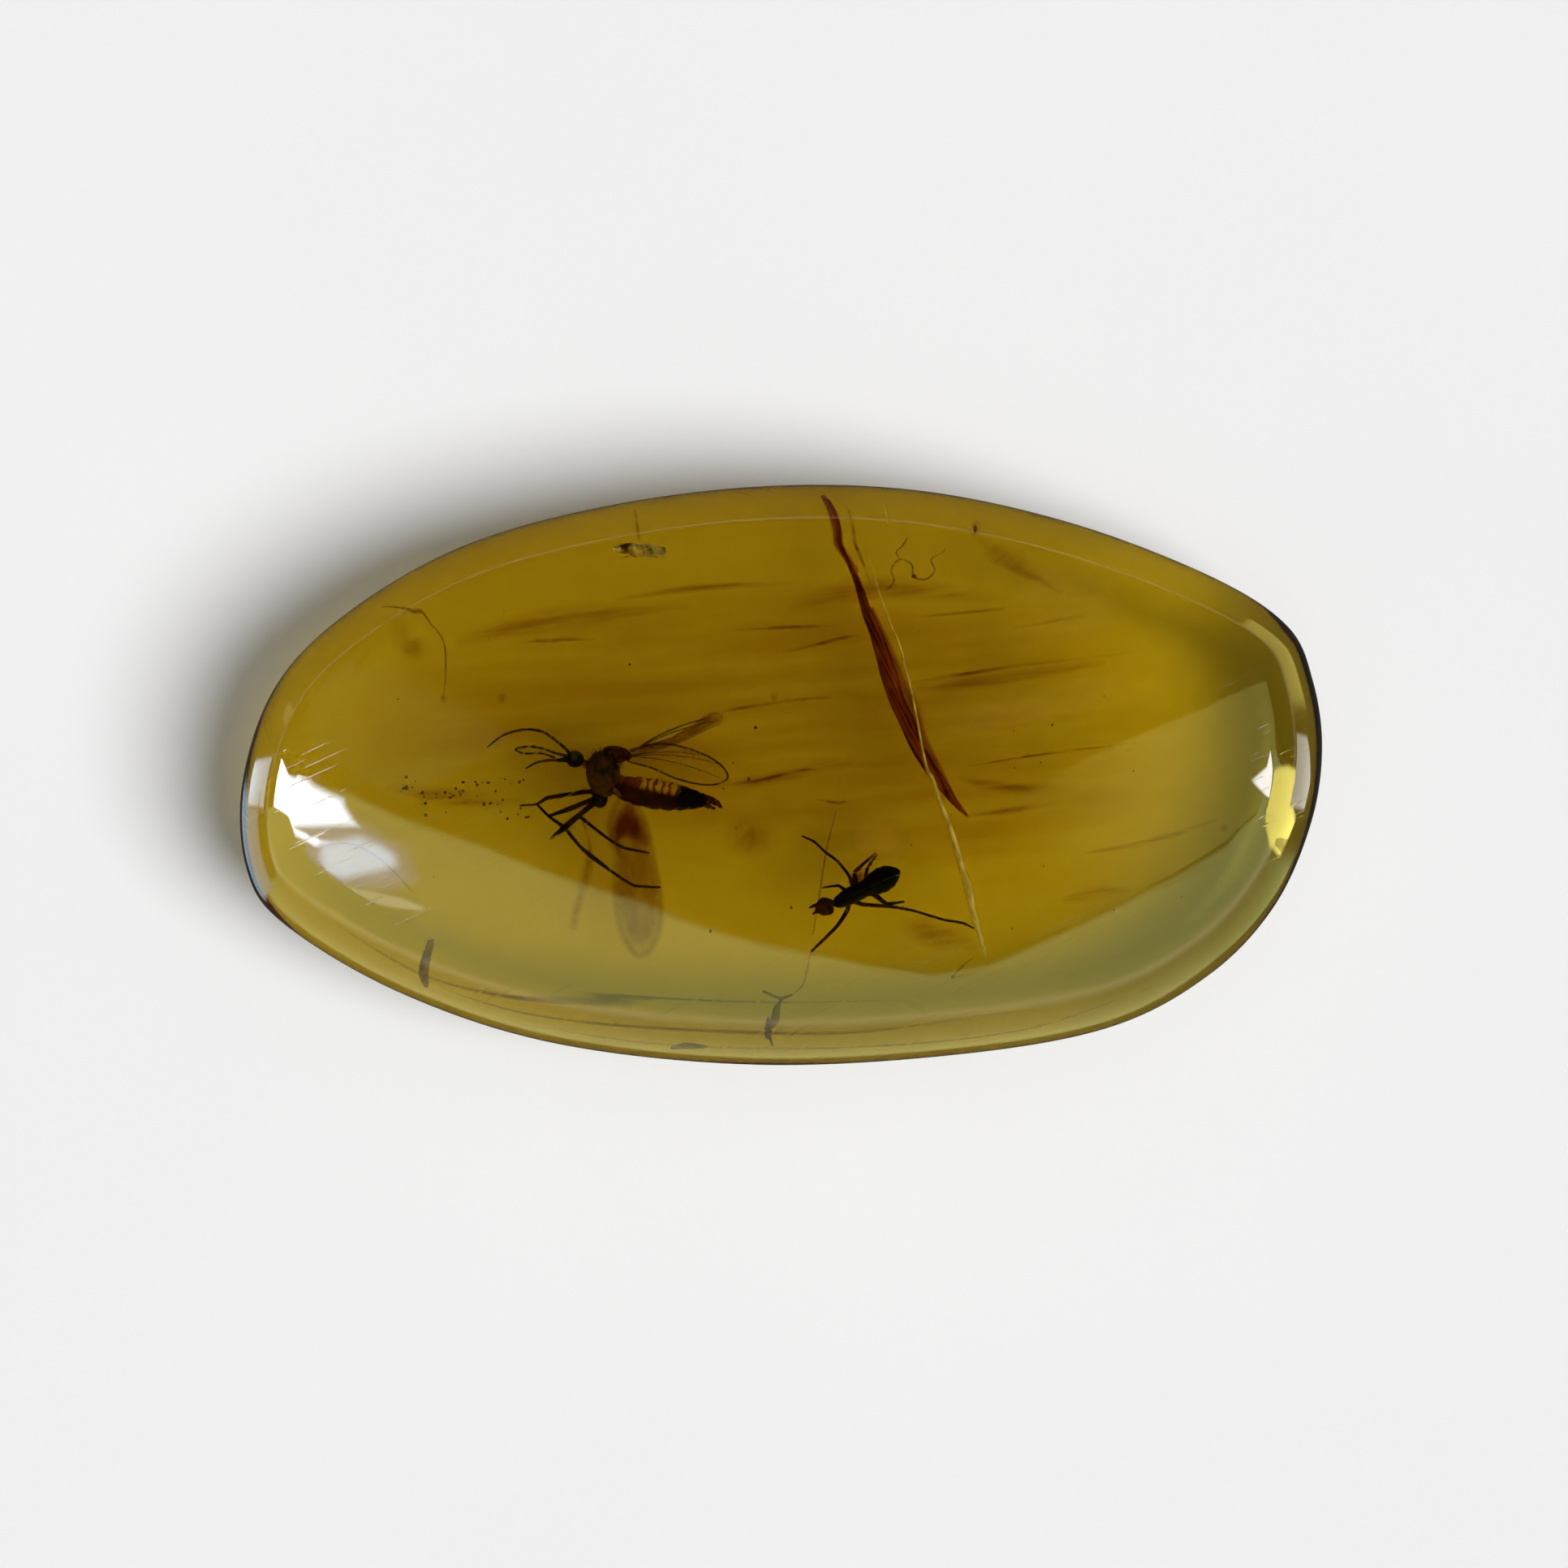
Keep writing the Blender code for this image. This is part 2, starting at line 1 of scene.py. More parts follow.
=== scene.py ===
"""Insects in amber, dressed: a polished amber cabochon with a gnat, an ant, a plant splinter,
crumbs of debris and the flow marks of the resin sealed inside it, on a pale studio floor.

Sizes are in millimetres until a piece is finished, when it becomes metres in the shared frame.
+X runs along the stone, +Y across it and +Z up from its flat base.  Inner pieces give z from the
parting, the level inside the stone at which the insects lie.
"""

import logging
import math
import random
from collections.abc import Sequence
from dataclasses import dataclass, field
from enum import Enum
from typing import Self

import bmesh
import bpy
from mathutils import Matrix, Vector, noise

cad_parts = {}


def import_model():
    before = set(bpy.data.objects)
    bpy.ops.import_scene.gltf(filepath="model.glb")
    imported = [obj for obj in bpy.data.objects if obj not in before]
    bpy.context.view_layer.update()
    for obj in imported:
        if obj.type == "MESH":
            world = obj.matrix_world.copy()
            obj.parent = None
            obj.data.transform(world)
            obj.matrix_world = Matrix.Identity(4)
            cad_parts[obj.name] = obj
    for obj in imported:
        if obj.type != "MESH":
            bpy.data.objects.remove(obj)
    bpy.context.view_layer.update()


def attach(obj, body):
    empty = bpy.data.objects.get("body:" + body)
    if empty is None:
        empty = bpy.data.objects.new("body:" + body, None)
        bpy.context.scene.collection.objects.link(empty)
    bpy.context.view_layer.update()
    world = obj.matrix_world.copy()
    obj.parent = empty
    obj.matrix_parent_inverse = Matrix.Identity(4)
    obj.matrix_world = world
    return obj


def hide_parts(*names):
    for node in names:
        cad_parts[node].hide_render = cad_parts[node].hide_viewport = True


MM = 0.001
BODY = "root"
PARTING_HEIGHT = 3.0
THINNEST_RADIUS = 0.006
MERGE_DISTANCE = 0.0002
UPRIGHT_LIMIT = 0.05
BRISTLE_TIP = 0.2
SPECK_STRETCH = (0.6, 1.4)
SPECK_UNEVENNESS = 0.2
END_SLOPES = (math.radians(48), math.radians(78))
REPORT = logging.getLogger("amber")

Tree = bpy.types.NodeTree
Socket = bpy.types.NodeSocket
Point = tuple[float, float, float]
Point2D = tuple[float, float]
Outline = tuple[Point2D, ...]
# A place on the middle line of a limb, and the limb's radius there.
Knot = tuple[float, float, float, float]
Limb = tuple[Knot, ...]
# Middle, half sizes, and turn about Z in degrees.
Oval = tuple[Point, Point, float]


class Slot(Enum):
    """Names of the material slots."""

    AMBER = "amber"
    GNAT = "gnat_cuticle"
    ANT = "ant_cuticle"
    PLANT = "plant_fibre"
    BARK = "bark"


# --- Small tools --------------------------------------------------------------------------------


def linear_colour(code: str) -> tuple[float, float, float, float]:
    """Turn an sRGB hex colour into the linear channels that a colour socket takes.

    Args:
        code: Colour as "#RRGGBB".

    Returns:
        Linear red, green and blue, and a full alpha.
    """
    channels = [int(code[place:place + 2], 16) / 255 for place in (1, 3, 5)]
    linear = [c / 12.92 if c <= 0.04045 else ((c + 0.055) / 1.055) ** 2.4 for c in channels]
    return (linear[0], linear[1], linear[2], 1.0)


def add_node(tree: Tree, kind: str, sockets: Sequence[object] | dict[str | int, object] = (),
             output: str | int = 0, **settings: object) -> Socket | None:
    """Add a node with its settings and links.

    Args:
        tree: Node tree that it joins.
        kind: Node type, without the "ShaderNode" that every type starts with.
        sockets: Its first inputs in order, or inputs by name or number.  Each is a plain value
            or the output that feeds it.
        output: Name or number of the output that is wanted.
        settings: Its own properties.

    Returns:
        That output, or nothing for a node that has none.
    """
    node = tree.nodes.new("ShaderNode" + kind)
    for name, value in settings.items():
        setattr(node, name, value)
    for place, value in (sockets.items() if isinstance(sockets, dict) else enumerate(sockets)):
        if isinstance(value, Socket):
            tree.links.new(value, node.inputs[place])
        else:
            node.inputs[place].default_value = value
    return node.outputs[output] if node.outputs else None


def add_grain(tree: Tree, size: Point, turn: float = 0.0, detail: float = 3.0) -> Socket:
    """Add an uneven pattern of patches, laid in the object's own coordinates.

    Args:
        tree: Node tree that it joins.
        size: Length, width and height of a patch, in millimetres.
        turn: Turn of the patches about Z, in degrees.
        detail: How many finer patterns lie on it.

    Returns:
        Its level, which lies mostly between 0.35 and 0.65.
    """
    place = add_node(tree, "TexCoord", output="Object")
    laid = add_node(tree, "Mapping", [place, (0, 0, 0), (0, 0, math.radians(turn)),
                                      [part * MM for part in size]], vector_type="TEXTURE")
    return add_node(tree, "TexNoise", {"Vector": laid, "Scale": 1.0, "Detail": detail})


def add_object(name: str, shape: bmesh.types.BMesh,
               material: bpy.types.Material) -> bpy.types.Object:
    """Turn a shape into an object of the scene.

    Args:
        name: The object's name.
        shape: Its shape, in metres, which is used up.
        material: Its finish.

    Returns:
        The object, at the origin.
    """
    mesh = bpy.data.meshes.new(name)
    shape.to_mesh(mesh)
    shape.free()
    mesh.materials.append(material)
    made = bpy.data.objects.new(name, mesh)
    bpy.context.scene.collection.objects.link(made)
    return made


def curve_point(knots: Sequence[Vector], step: float) -> Vector:
    """Return a point of the smooth curve through four knots, between the middle two.

    Args:
        knots: The four knots.
        step: Place between the middle two, from 0 to 1.

    Returns:
        The point, with as many numbers as the knots have.
    """
    before, first, second, after = knots
    return 0.5 * (2 * first + (second - before) * step
                  + (2 * before - 5 * first + 4 * second - after) * step ** 2
                  + (3 * first - before - 3 * second + after) * step ** 3)


def loop_point(outline: Sequence[Vector | Point2D], turn: float) -> Vector:
    """Return a point of a closed smooth outline.

    Args:
        outline: Corner points, in order.
        turn: How far round the outline the point lies, from 0 to 1.

    Returns:
        The point.
    """
    position = (turn % 1.0) * len(outline)
    start = math.floor(position)
    corners = [Vector(outline[(start + shift) % len(outline)]) for shift in (-1, 0, 1, 2)]
    return curve_point(corners, position - start)


def smooth_path(limb: Sequence[Knot], steps: int,
                softness: float) -> tuple[list[Vector], list[float]]:
    """Return the stations of a path that runs through a limb's knots.

    Args:
        limb: The knots.
        steps: Stations for each span between two knots.
        softness: 1 for a curve all the way, 0 for straight spans with sharp knees.

    Returns:
        The stations' places and their radii.
    """
    knots = [Vector(knot) for knot in limb]
    padded = [2 * knots[0] - knots[1], *knots, 2 * knots[-1] - knots[-2]]
    points: list[Vector] = []
    sizes: list[float] = []
    for start in range(len(knots) - 1):
        last = start == len(knots) - 2
        for step in range(steps + 1 if last else steps):
            curved = curve_point(padded[start:start + 4], step / steps)
            mixed = knots[start].lerp(knots[start + 1], step / steps).lerp(curved, softness)
            points.append(mixed.to_3d())
            sizes.append(max(mixed[3], THINNEST_RADIUS))
    return points, sizes


def station(points: Sequence[Vector], sizes: Sequence[float], index: int,
            flatness: float) -> Matrix:
    """Return the matrix that puts a unit circle across a path at one of its stations.

    Args:
        points: Places of the stations.
        sizes: Their radii.
        index: Which station.
        flatness: Height of the cross-section over its width.

    Returns:
        The matrix.
    """
    after = points[min(index + 1, len(points) - 1)]
    forward = (after - points[max(index - 1, 0)]).normalized()
    side = forward.cross(Vector((0, 0, 1)))
    if side.length < UPRIGHT_LIMIT:
        side = Vector((1, 0, 0))
    side.normalize()
    size = sizes[index]
    rise = side.cross(forward) * size * flatness
    matrix = Matrix((side * size, rise, forward)).transposed().to_4x4()
    matrix.translation = points[index]
    return matrix


# --- Finishes -----------------------------------------------------------------------------------


@dataclass(frozen=True)
class Finish:
    """What every finish shares: a name, and a material that is made once."""

    name: str

    def material(self) -> bpy.types.Material:
        """Return the material, made the first time that it is asked for.

        Returns:
            The material.
        """
        made = bpy.data.materials.get(self.name)
        if made is None:
            made = bpy.data.materials.new(self.name)
            made.use_nodes = True
            made.node_tree.nodes.clear()
            add_node(made.node_tree, "OutputMaterial", self.wire(made.node_tree))
        return made

    def wire(self, tree: Tree) -> list[Socket]:
        """Build the nodes, and return what feeds the surface and, if it has one, the volume."""
        raise NotImplementedError


@dataclass(frozen=True)
class PolishedAmber(Finish):
    """Baltic-type amber, ground and hand-polished with chalk.

    It gives a clear golden body whose colour deepens with depth, a wet mirror surface with the
    slight waves of hand polishing, and hairline scratches that only show in a highlight.
    """

    ior: float = 1.54
    density: float = 700.0
    # Light lost per metre of path, as a share of the density: little red, more green, most blue.
    absorbed: Point = (0.092, 0.156, 0.72)
    wave_size: float = 4.0
    wave_height: float = 0.004
    # Scratches are 5 to 10 micrometres wide; they are drawn at 50 so that they can be seen.
    scratch_width: float = 0.05
    scratch_length: float = 3.0
    scratch_depth: float = 0.0006
    scratch_turn: float = 24.0
    scratch_levels: Point2D = (0.70, 0.78)

    def wire(self, tree: Tree) -> list[Socket]:
        """Build a clear dielectric with a plain absorbing body and polishing marks.

        Args:
            tree: Its empty node tree.

        Returns:
            The polished surface and the absorbing body.
        """
        waves = add_grain(tree, (self.wave_size, self.wave_size, self.wave_size), detail=1.0)
        strokes = add_grain(tree, (self.scratch_length, self.scratch_width, self.scratch_length),
                            self.scratch_turn, detail=0.0)
        cut = add_node(tree, "MapRange", [strokes, *self.scratch_levels])
        polish = add_node(tree, "Bump", {
            "Strength": 1.0, "Distance": self.wave_height * MM, "Height": waves})
        scored = add_node(tree, "Bump", {
            "Strength": 1.0, "Distance": self.scratch_depth * MM, "Height": cut,
            "Normal": polish}, invert=True)
        shader = add_node(tree, "BsdfPrincipled", {
            "Base Color": (1, 1, 1, 1), "Roughness": 0.0, "IOR": self.ior,
            "Transmission Weight": 1.0, "Normal": scored})
        body = add_node(tree, "VolumeAbsorption", {
            "Color": (*[1 - share for share in self.absorbed], 1.0), "Density": self.density})
        return [shader, body]


@dataclass(frozen=True)
class Skin(Finish):
    """A matt, mottled surface with a fine relief, the ground of every solid finish."""

    dark: str = "#0d0805"
    light: str = "#3a2010"
    light_share: float = 0.5
    patch: Point2D = (0.25, 0.25)
    patch_levels: Point2D = (0.35, 0.65)
    detail: float = 3.0
    turn: float = 0.0
    pit_size: float = 0.0
    relief: float = 0.6
    relief_depth: float = 0.01
    roughness: float = 0.5
    ior: float = 1.56
    gloss: float = 0.12
    opacity: float = 1.0

    def wire(self, tree: Tree) -> list[Socket]:
        """Build a surface whose colour and relief follow its patches, or its pits.

        Args:
            tree: Its empty node tree.

        Returns:
            The surface.
        """
        length, width = self.patch
        height = add_grain(tree, (length, width, width), self.turn, self.detail)
        share = add_node(tree, "MapRange", [height, *self.patch_levels, 0.0, 2 * self.light_share])
        colour = add_node(tree, "Mix", {0: share, 6: linear_colour(self.dark),
                                        7: linear_colour(self.light)}, 2, data_type="RGBA")
        if self.pit_size:
            place = add_node(tree, "TexCoord", output="Object")
            height = add_node(tree, "TexVoronoi", {
                "Vector": place, "Scale": 1 / (self.pit_size * MM)}, "Distance")
        return [self.coat(tree, colour, height)]

    def coat(self, tree: Tree, colour: Socket, height: Socket) -> Socket:
        """Build the matt coat of the surface.

        Args:
            tree: Its node tree.
            colour: What gives its colour.
            height: What gives its relief.

        Returns:
            The coat.
        """
        normal = add_node(tree, "Bump", {
            "Strength": self.relief, "Distance": self.relief_depth * MM, "Height": height})
        return add_node(tree, "BsdfPrincipled", {
            "Base Color": colour, "Roughness": self.roughness, "IOR": self.ior,
            "Specular IOR Level": self.gloss, "Alpha": self.opacity, "Normal": normal})


@dataclass(frozen=True)
class Cuticle(Skin):
    """Fossil insect cuticle, dark chitin that the resin has soaked.

    It gives a matt brown-black skin, mottled where it has thinned, with fine pits.  It lies in
    amber of almost its own IOR, so nearly all of its gloss has gone.
    """

    pit_size: float = 0.05


@dataclass(frozen=True)
class SplitWood(Skin):
    """Split conifer wood or bark, soaked with resin.

    It gives a long streaky grain, red-brown where light gets through and nearly black where the
    piece is thick.
    """

    patch: Point2D = (2.5, 0.06)
    patch_levels: Point2D = (0.35, 0.68)
    turn: float = -63.2
    relief: float = 0.8
    relief_depth: float = 0.02
    roughness: float = 0.7
    ior: float = 1.5
    gloss: float = 0.1


@dataclass(frozen=True)
class MattPaper(Skin):
    """White background paper, which gives a matt and faintly uneven ground."""

    dark: str = "#e2e2e3"
    light: str = "#e6e6e6"
    patch: Point2D = (20, 20)
    patch_levels: Point2D = (0, 1)
    detail: float = 2.0
    relief: float = 0.0
    roughness: float = 0.9
    ior: float = 1.5
    gloss: float = 0.1


@dataclass(frozen=True)
class BandedCuticle(Skin):
    """Thin abdominal cuticle with clear joints between its rings.

    It gives a glowing red-brown abdomen with a pale yellow window at the back of every ring, dark
    red on the belly side and black at the tail.
    """

    belly: str = "#300802"
    back: str = "#7a3c10"
    window: str = "#d8b860"
    tail: str = "#030202"
    rings: int = 11
    axis_from: Point2D = (-3.98, -0.14)
    axis_to: Point2D = (-2.02, -0.57)
    half_width: float = 0.36
    spot_size: float = 0.16
    unevenness: float = 0.10
    joint_span: Point2D = (0.25, 0.55)
    window_span: Point2D = (0.34, 0.42)
    back_span: Point2D = (-0.20, 0.30)
    tail_span: Point2D = (0.80, 0.88)
    relief: float = 0.5
    relief_depth: float = 0.02
    gloss: float = 0.1

    def wire(self, tree: Tree) -> list[Socket]:
        """Build the bands from how far along and across the abdomen a point lies.

        Args:
            tree: Its empty node tree.

        Returns:
            The surface.
        """
        place = add_node(tree, "TexCoord", output="Object")
        run = Vector(self.axis_to) - Vector(self.axis_from)
        laid = add_node(tree, "Mapping", [
            place, (self.axis_from[0] * MM, self.axis_from[1] * MM, 0),
            (0, 0, math.atan2(run.y, run.x)), (run.length * MM, self.half_width * MM, MM)],
            vector_type="TEXTURE")
        spots = add_grain(tree, (self.spot_size, self.spot_size, self.spot_size), detail=2.0)
        along, across = [add_node(tree, "SeparateXYZ", [laid], axis) for axis in (0, 1)]
        uneven = add_node(tree, "Math", [spots, self.unevenness, along],
                          operation="MULTIPLY_ADD")
        counted = add_node(tree, "Math", [uneven, float(self.rings)], operation="MULTIPLY")
        ring = add_node(tree, "Math", [counted], operation="FRACT")
        joint, behind_waist, upper, tail_end = [
            add_node(tree, "MapRange", [level, *span], interpolation_type="SMOOTHSTEP")
            for level, span in ((ring, self.joint_span), (uneven, self.window_span),
                                (across, self.back_span), (uneven, self.tail_span))]
        high = add_node(tree, "Math", [joint, upper], operation="MULTIPLY")
        clear = add_node(tree, "Math", [high, behind_waist], operation="MULTIPLY")
        colour: object = linear_colour(self.belly)
        for share, code in ((upper, self.back), (clear, self.window), (tail_end, self.tail)):
            colour = add_node(tree, "Mix", {0: share, 6: colour, 7: linear_colour(code)}, 2,
                              data_type="RGBA")
        return [self.coat(tree, colour, ring)]


@dataclass(frozen=True)
class Film(Finish):
    """A see-through film or stain in the resin: wing membrane, flow mark, veil or painted rim reflection.

    It gives a tint with no gloss that is densest where the film is densest, and that fades
    unevenly towards its edge and its ends.  Part of it scatters its own colour, and the rest
    only filters the light that passes.
    """

    colour: str = "#5a2c08"
    passed: str = "#c46a28"
    scatter: float = 0.3
    middle_opacity: float = 0.3
    edge_opacity: float = 0.0
    edge_width: float = 0.5
    end_fade: float = 0.0
    unevenness: float = 0.5
    grain: Point = (0.8, 0.2, 0.4)
    grain_levels: Point2D = (0.35, 0.65)
    turn: float = 0.0
    roughness: float = 0.7

    def wire(self, tree: Tree) -> list[Socket]:
        """Build a tint whose strength follows the form and a stretched grain.

        Args:
            tree: Its empty node tree.

        Returns:
            The surface.
        """
        core, along = [add_node(tree, "Attribute", output="Fac", attribute_name=name)
                       for name in ("core", "along")]
        cloud = add_grain(tree, self.grain, self.turn, detail=4.0)
        uneven = add_node(tree, "MapRange", [
            cloud, *self.grain_levels, 1.0 - self.unevenness, 1.0])
        strength = add_node(tree, "MapRange", [
            core, 0.0, self.edge_width, self.edge_opacity, self.middle_opacity],
            interpolation_type="SMOOTHSTEP")
        cover = add_node(tree, "Math", [strength, uneven], operation="MULTIPLY")
        if self.end_fade:
            near_end = add_node(tree, "Math", [along, 0.5], operation="PINGPONG")
            ends = add_node(tree, "MapRange", [near_end, 0.0, self.end_fade],
                            interpolation_type="SMOOTHSTEP")
            cover = add_node(tree, "Math", [cover, ends], operation="MULTIPLY")
        shader = add_node(tree, "BsdfPrincipled", {
            "Base Color": linear_colour(self.colour), "Roughness": self.roughness,
            "Specular IOR Level": 0.0, "Alpha": cover})
        tint = add_node(tree, "Mix", {0: cover, 6: (1, 1, 1, 1), 7: linear_colour(self.passed)},
                        2, data_type="RGBA")
        filtering = add_node(tree, "BsdfTransparent", [tint])
        return [add_node(tree, "MixShader", [self.scatter, filtering, shader])]


@dataclass(frozen=True)
class StudioGlow(Finish):
    """The glow of a studio card, which may fade at its edges or from one side to the other."""

    colour: str = "#ffffff"
    strength: float = 1.0
    soft_edged: bool = False
    fade_from: Point2D = (0.0, 0.0)
    fade_to: Point2D = (0.0, 0.0)

    def wire(self, tree: Tree) -> list[Socket]:
        """Build an emitter that turns clear where the card fades.

        Args:
            tree: Its empty node tree.

        Returns:
            The surface.
        """
        glow = add_node(tree, "Emission", [linear_colour(self.colour), self.strength])
        run = Vector(self.fade_to) - Vector(self.fade_from)
        if not self.soft_edged and run.length == 0:
            return [glow]
        inner = add_node(tree, "Attribute", output="Fac", attribute_name="inner")
        cover = add_node(tree, "MapRange", [inner], interpolation_type="SMOOTHSTEP")
        if run.length > 0:
            place = add_node(tree, "TexCoord", output="Object")
            across = add_node(tree, "VectorMath", [place, (run.x, run.y, 0)], "Value",
                              operation="DOT_PRODUCT")
            start = Vector(self.fade_from).dot(run)
            fade = add_node(tree, "MapRange", [across, start, start + run.length_squared],
                            interpolation_type="SMOOTHSTEP")
            cover = add_node(tree, "Math", [cover, fade], operation="MULTIPLY")
        clear = add_node(tree, "BsdfTransparent")
        return [add_node(tree, "MixShader", [cover, clear, glow])]


AMBER = PolishedAmber("polished_amber")
BLACK_CUTICLE = Cuticle("black_cuticle", "#060302", "#1a0d06", 0.4)
BROWN_CUTICLE = Cuticle("brown_cuticle", "#180c08", "#583c34")
RED_CUTICLE = Cuticle("red_brown_cuticle", "#240a05", "#5c2a1c", patch=(0.15, 0.15), opacity=0.9)
PALE_CUTICLE = Cuticle("pale_cuticle", "#6a4430", "#a88468", patch=(0.1, 0.1), opacity=0.85)
LEG_CUTICLE = Cuticle("leg_cuticle", "#0a0502", "#2e1608", patch=(0.5, 0.5))
FINE_CUTICLE = Cuticle("feeler_cuticle", "#2c1a06", "#5c3c10", opacity=0.75)
EYE_CUTICLE = Cuticle("compound_eye", "#0c1012", "#4c5a58", 0.45, (0.12, 0.12), pit_size=0.035,
                      roughness=0.3)
ABDOMEN_CUTICLE = BandedCuticle("banded_abdomen")
WING_MEMBRANE = Film("wing_membrane", "#6a5020", scatter=0.6, middle_opacity=0.1, edge_opacity=0.3,
                     edge_width=0.05, unevenness=0.4, grain=(0.3, 0.1, 0.1), turn=-15)
WING_STREAK = Film("folded_wing", "#3a1a08", scatter=0.6, middle_opacity=0.62, edge_opacity=0.25,
                   edge_width=0.4, grain=(0.6, 0.08, 0.1), turn=27)
WING_BLUR = Film("hanging_wing", "#4a2004", "#c88c3c", middle_opacity=0.5, edge_width=0.3,
                 unevenness=0.35, grain=(0.3, 1.2, 0.3))
WING_BLUR_RIM = Film("hanging_wing_rim", "#4a2404", "#b87830", edge_width=1, end_fade=0.1,
                     unevenness=0.3)
WING_PATCH = Film("wing_base_patch", "#401400", middle_opacity=0.85, edge_width=0.7,
                  unevenness=0.4, grain=(0.3, 0.6, 0.3))
WING_VEIN = Cuticle("wing_vein", "#2a1406", "#5c3410", opacity=0.7)
ANT_BLACK = Cuticle("ant_black", "#010101", "#060403", 0.3)
ANT_BROWN = Cuticle("ant_brown", "#100502", "#4a200c", 0.4, (0.14, 0.14))
ANT_PALE = Cuticle("ant_pale", "#6c4a30", "#a07c5c", opacity=0.8)
ANT_LEG = Cuticle("ant_leg", "#160a04", "#4a280c", opacity=0.9)
SPLINTER = SplitWood("resin_soaked_wood", "#501806", "#b45c1a")
SPLINTER_HALO = Film("wood_stain", "#7a2c04", middle_opacity=0.75, edge_width=0.6,
                     grain=(2, 0.2, 0.2), turn=-63.2)
BARK_BROWN = SplitWood("bark_crumb_brown", "#4a220a", "#945a1e", patch=(0.4, 0.1), turn=0,
                       opacity=0.9)
BARK_GREY = SplitWood("bark_fleck_grey", "#4c3418", "#fff0dc", patch=(0.22, 0.08), turn=8,
                      opacity=0.95)
FRAGMENT_CUTICLE = Cuticle("fragment_cuticle", "#260a02", "#7a3410", patch=(0.3, 0.3))
FLOW_LINE = Film("flow_line", "#401802", middle_opacity=0.68, edge_width=1, end_fade=0.5,
                 unevenness=0.8, grain=(0.7, 0.2, 0.2))
# Painted reflection: dark lines in the resin along the lower rim stand in for the stone's inner
# reflections of its rim.
RIM_REFLECTION_LINE = Film("painted_rim_reflection_line", "#301c04", "#b08028", middle_opacity=0.6, edge_width=1,
                 end_fade=0.35, unevenness=0.4, grain=(3, 0.5, 0.5))
FLOW_BAND = Film("flow_band", "#501c02", middle_opacity=0.4, edge_width=1, end_fade=0.4,
                 unevenness=0.8, grain=(1.6, 0.14, 0.4), turn=6)
FLOW_SHEET = Film("flow_sheet", "#2a1202", "#d8a468", scatter=0.1, middle_opacity=0.2,
                  unevenness=1, grain=(5, 0.7, 2), turn=5)
PALE_VEIL = Film("pale_veil", "#f0cc88", scatter=1, middle_opacity=0.26, edge_width=0.6,
                 unevenness=0.7, grain=(2.5, 0.6, 1), turn=8)
STAIN = Film("brown_stain", "#3c1402", edge_width=0.9, grain=(0.25, 0.25, 0.25))
THREAD = Film("resin_thread", "#3c1c04", scatter=0.5, middle_opacity=0.55, edge_opacity=0.1,
              edge_width=0.8, end_fade=0.08, unevenness=0.4)
CRACK = Film("healed_crack", "#fff0a8", scatter=1, middle_opacity=0.9, edge_opacity=0.6,
             edge_width=0.8, end_fade=0.2, unevenness=0.7, grain=(0.3, 0.5, 0.3))
DUST = Cuticle("dust_grain", "#3c1c06", "#7a4a18", patch=(0.1, 0.1), opacity=0.6)


# --- Sketching ----------------------------------------------------------------------------------


@dataclass(frozen=True)
class Blade:
    """A thin blade, thickest in its middle, and tilted about X and Y by so many degrees."""

    place: Point
    outline: Outline
    thickness: float
    tilt: Point2D = (0, 0)


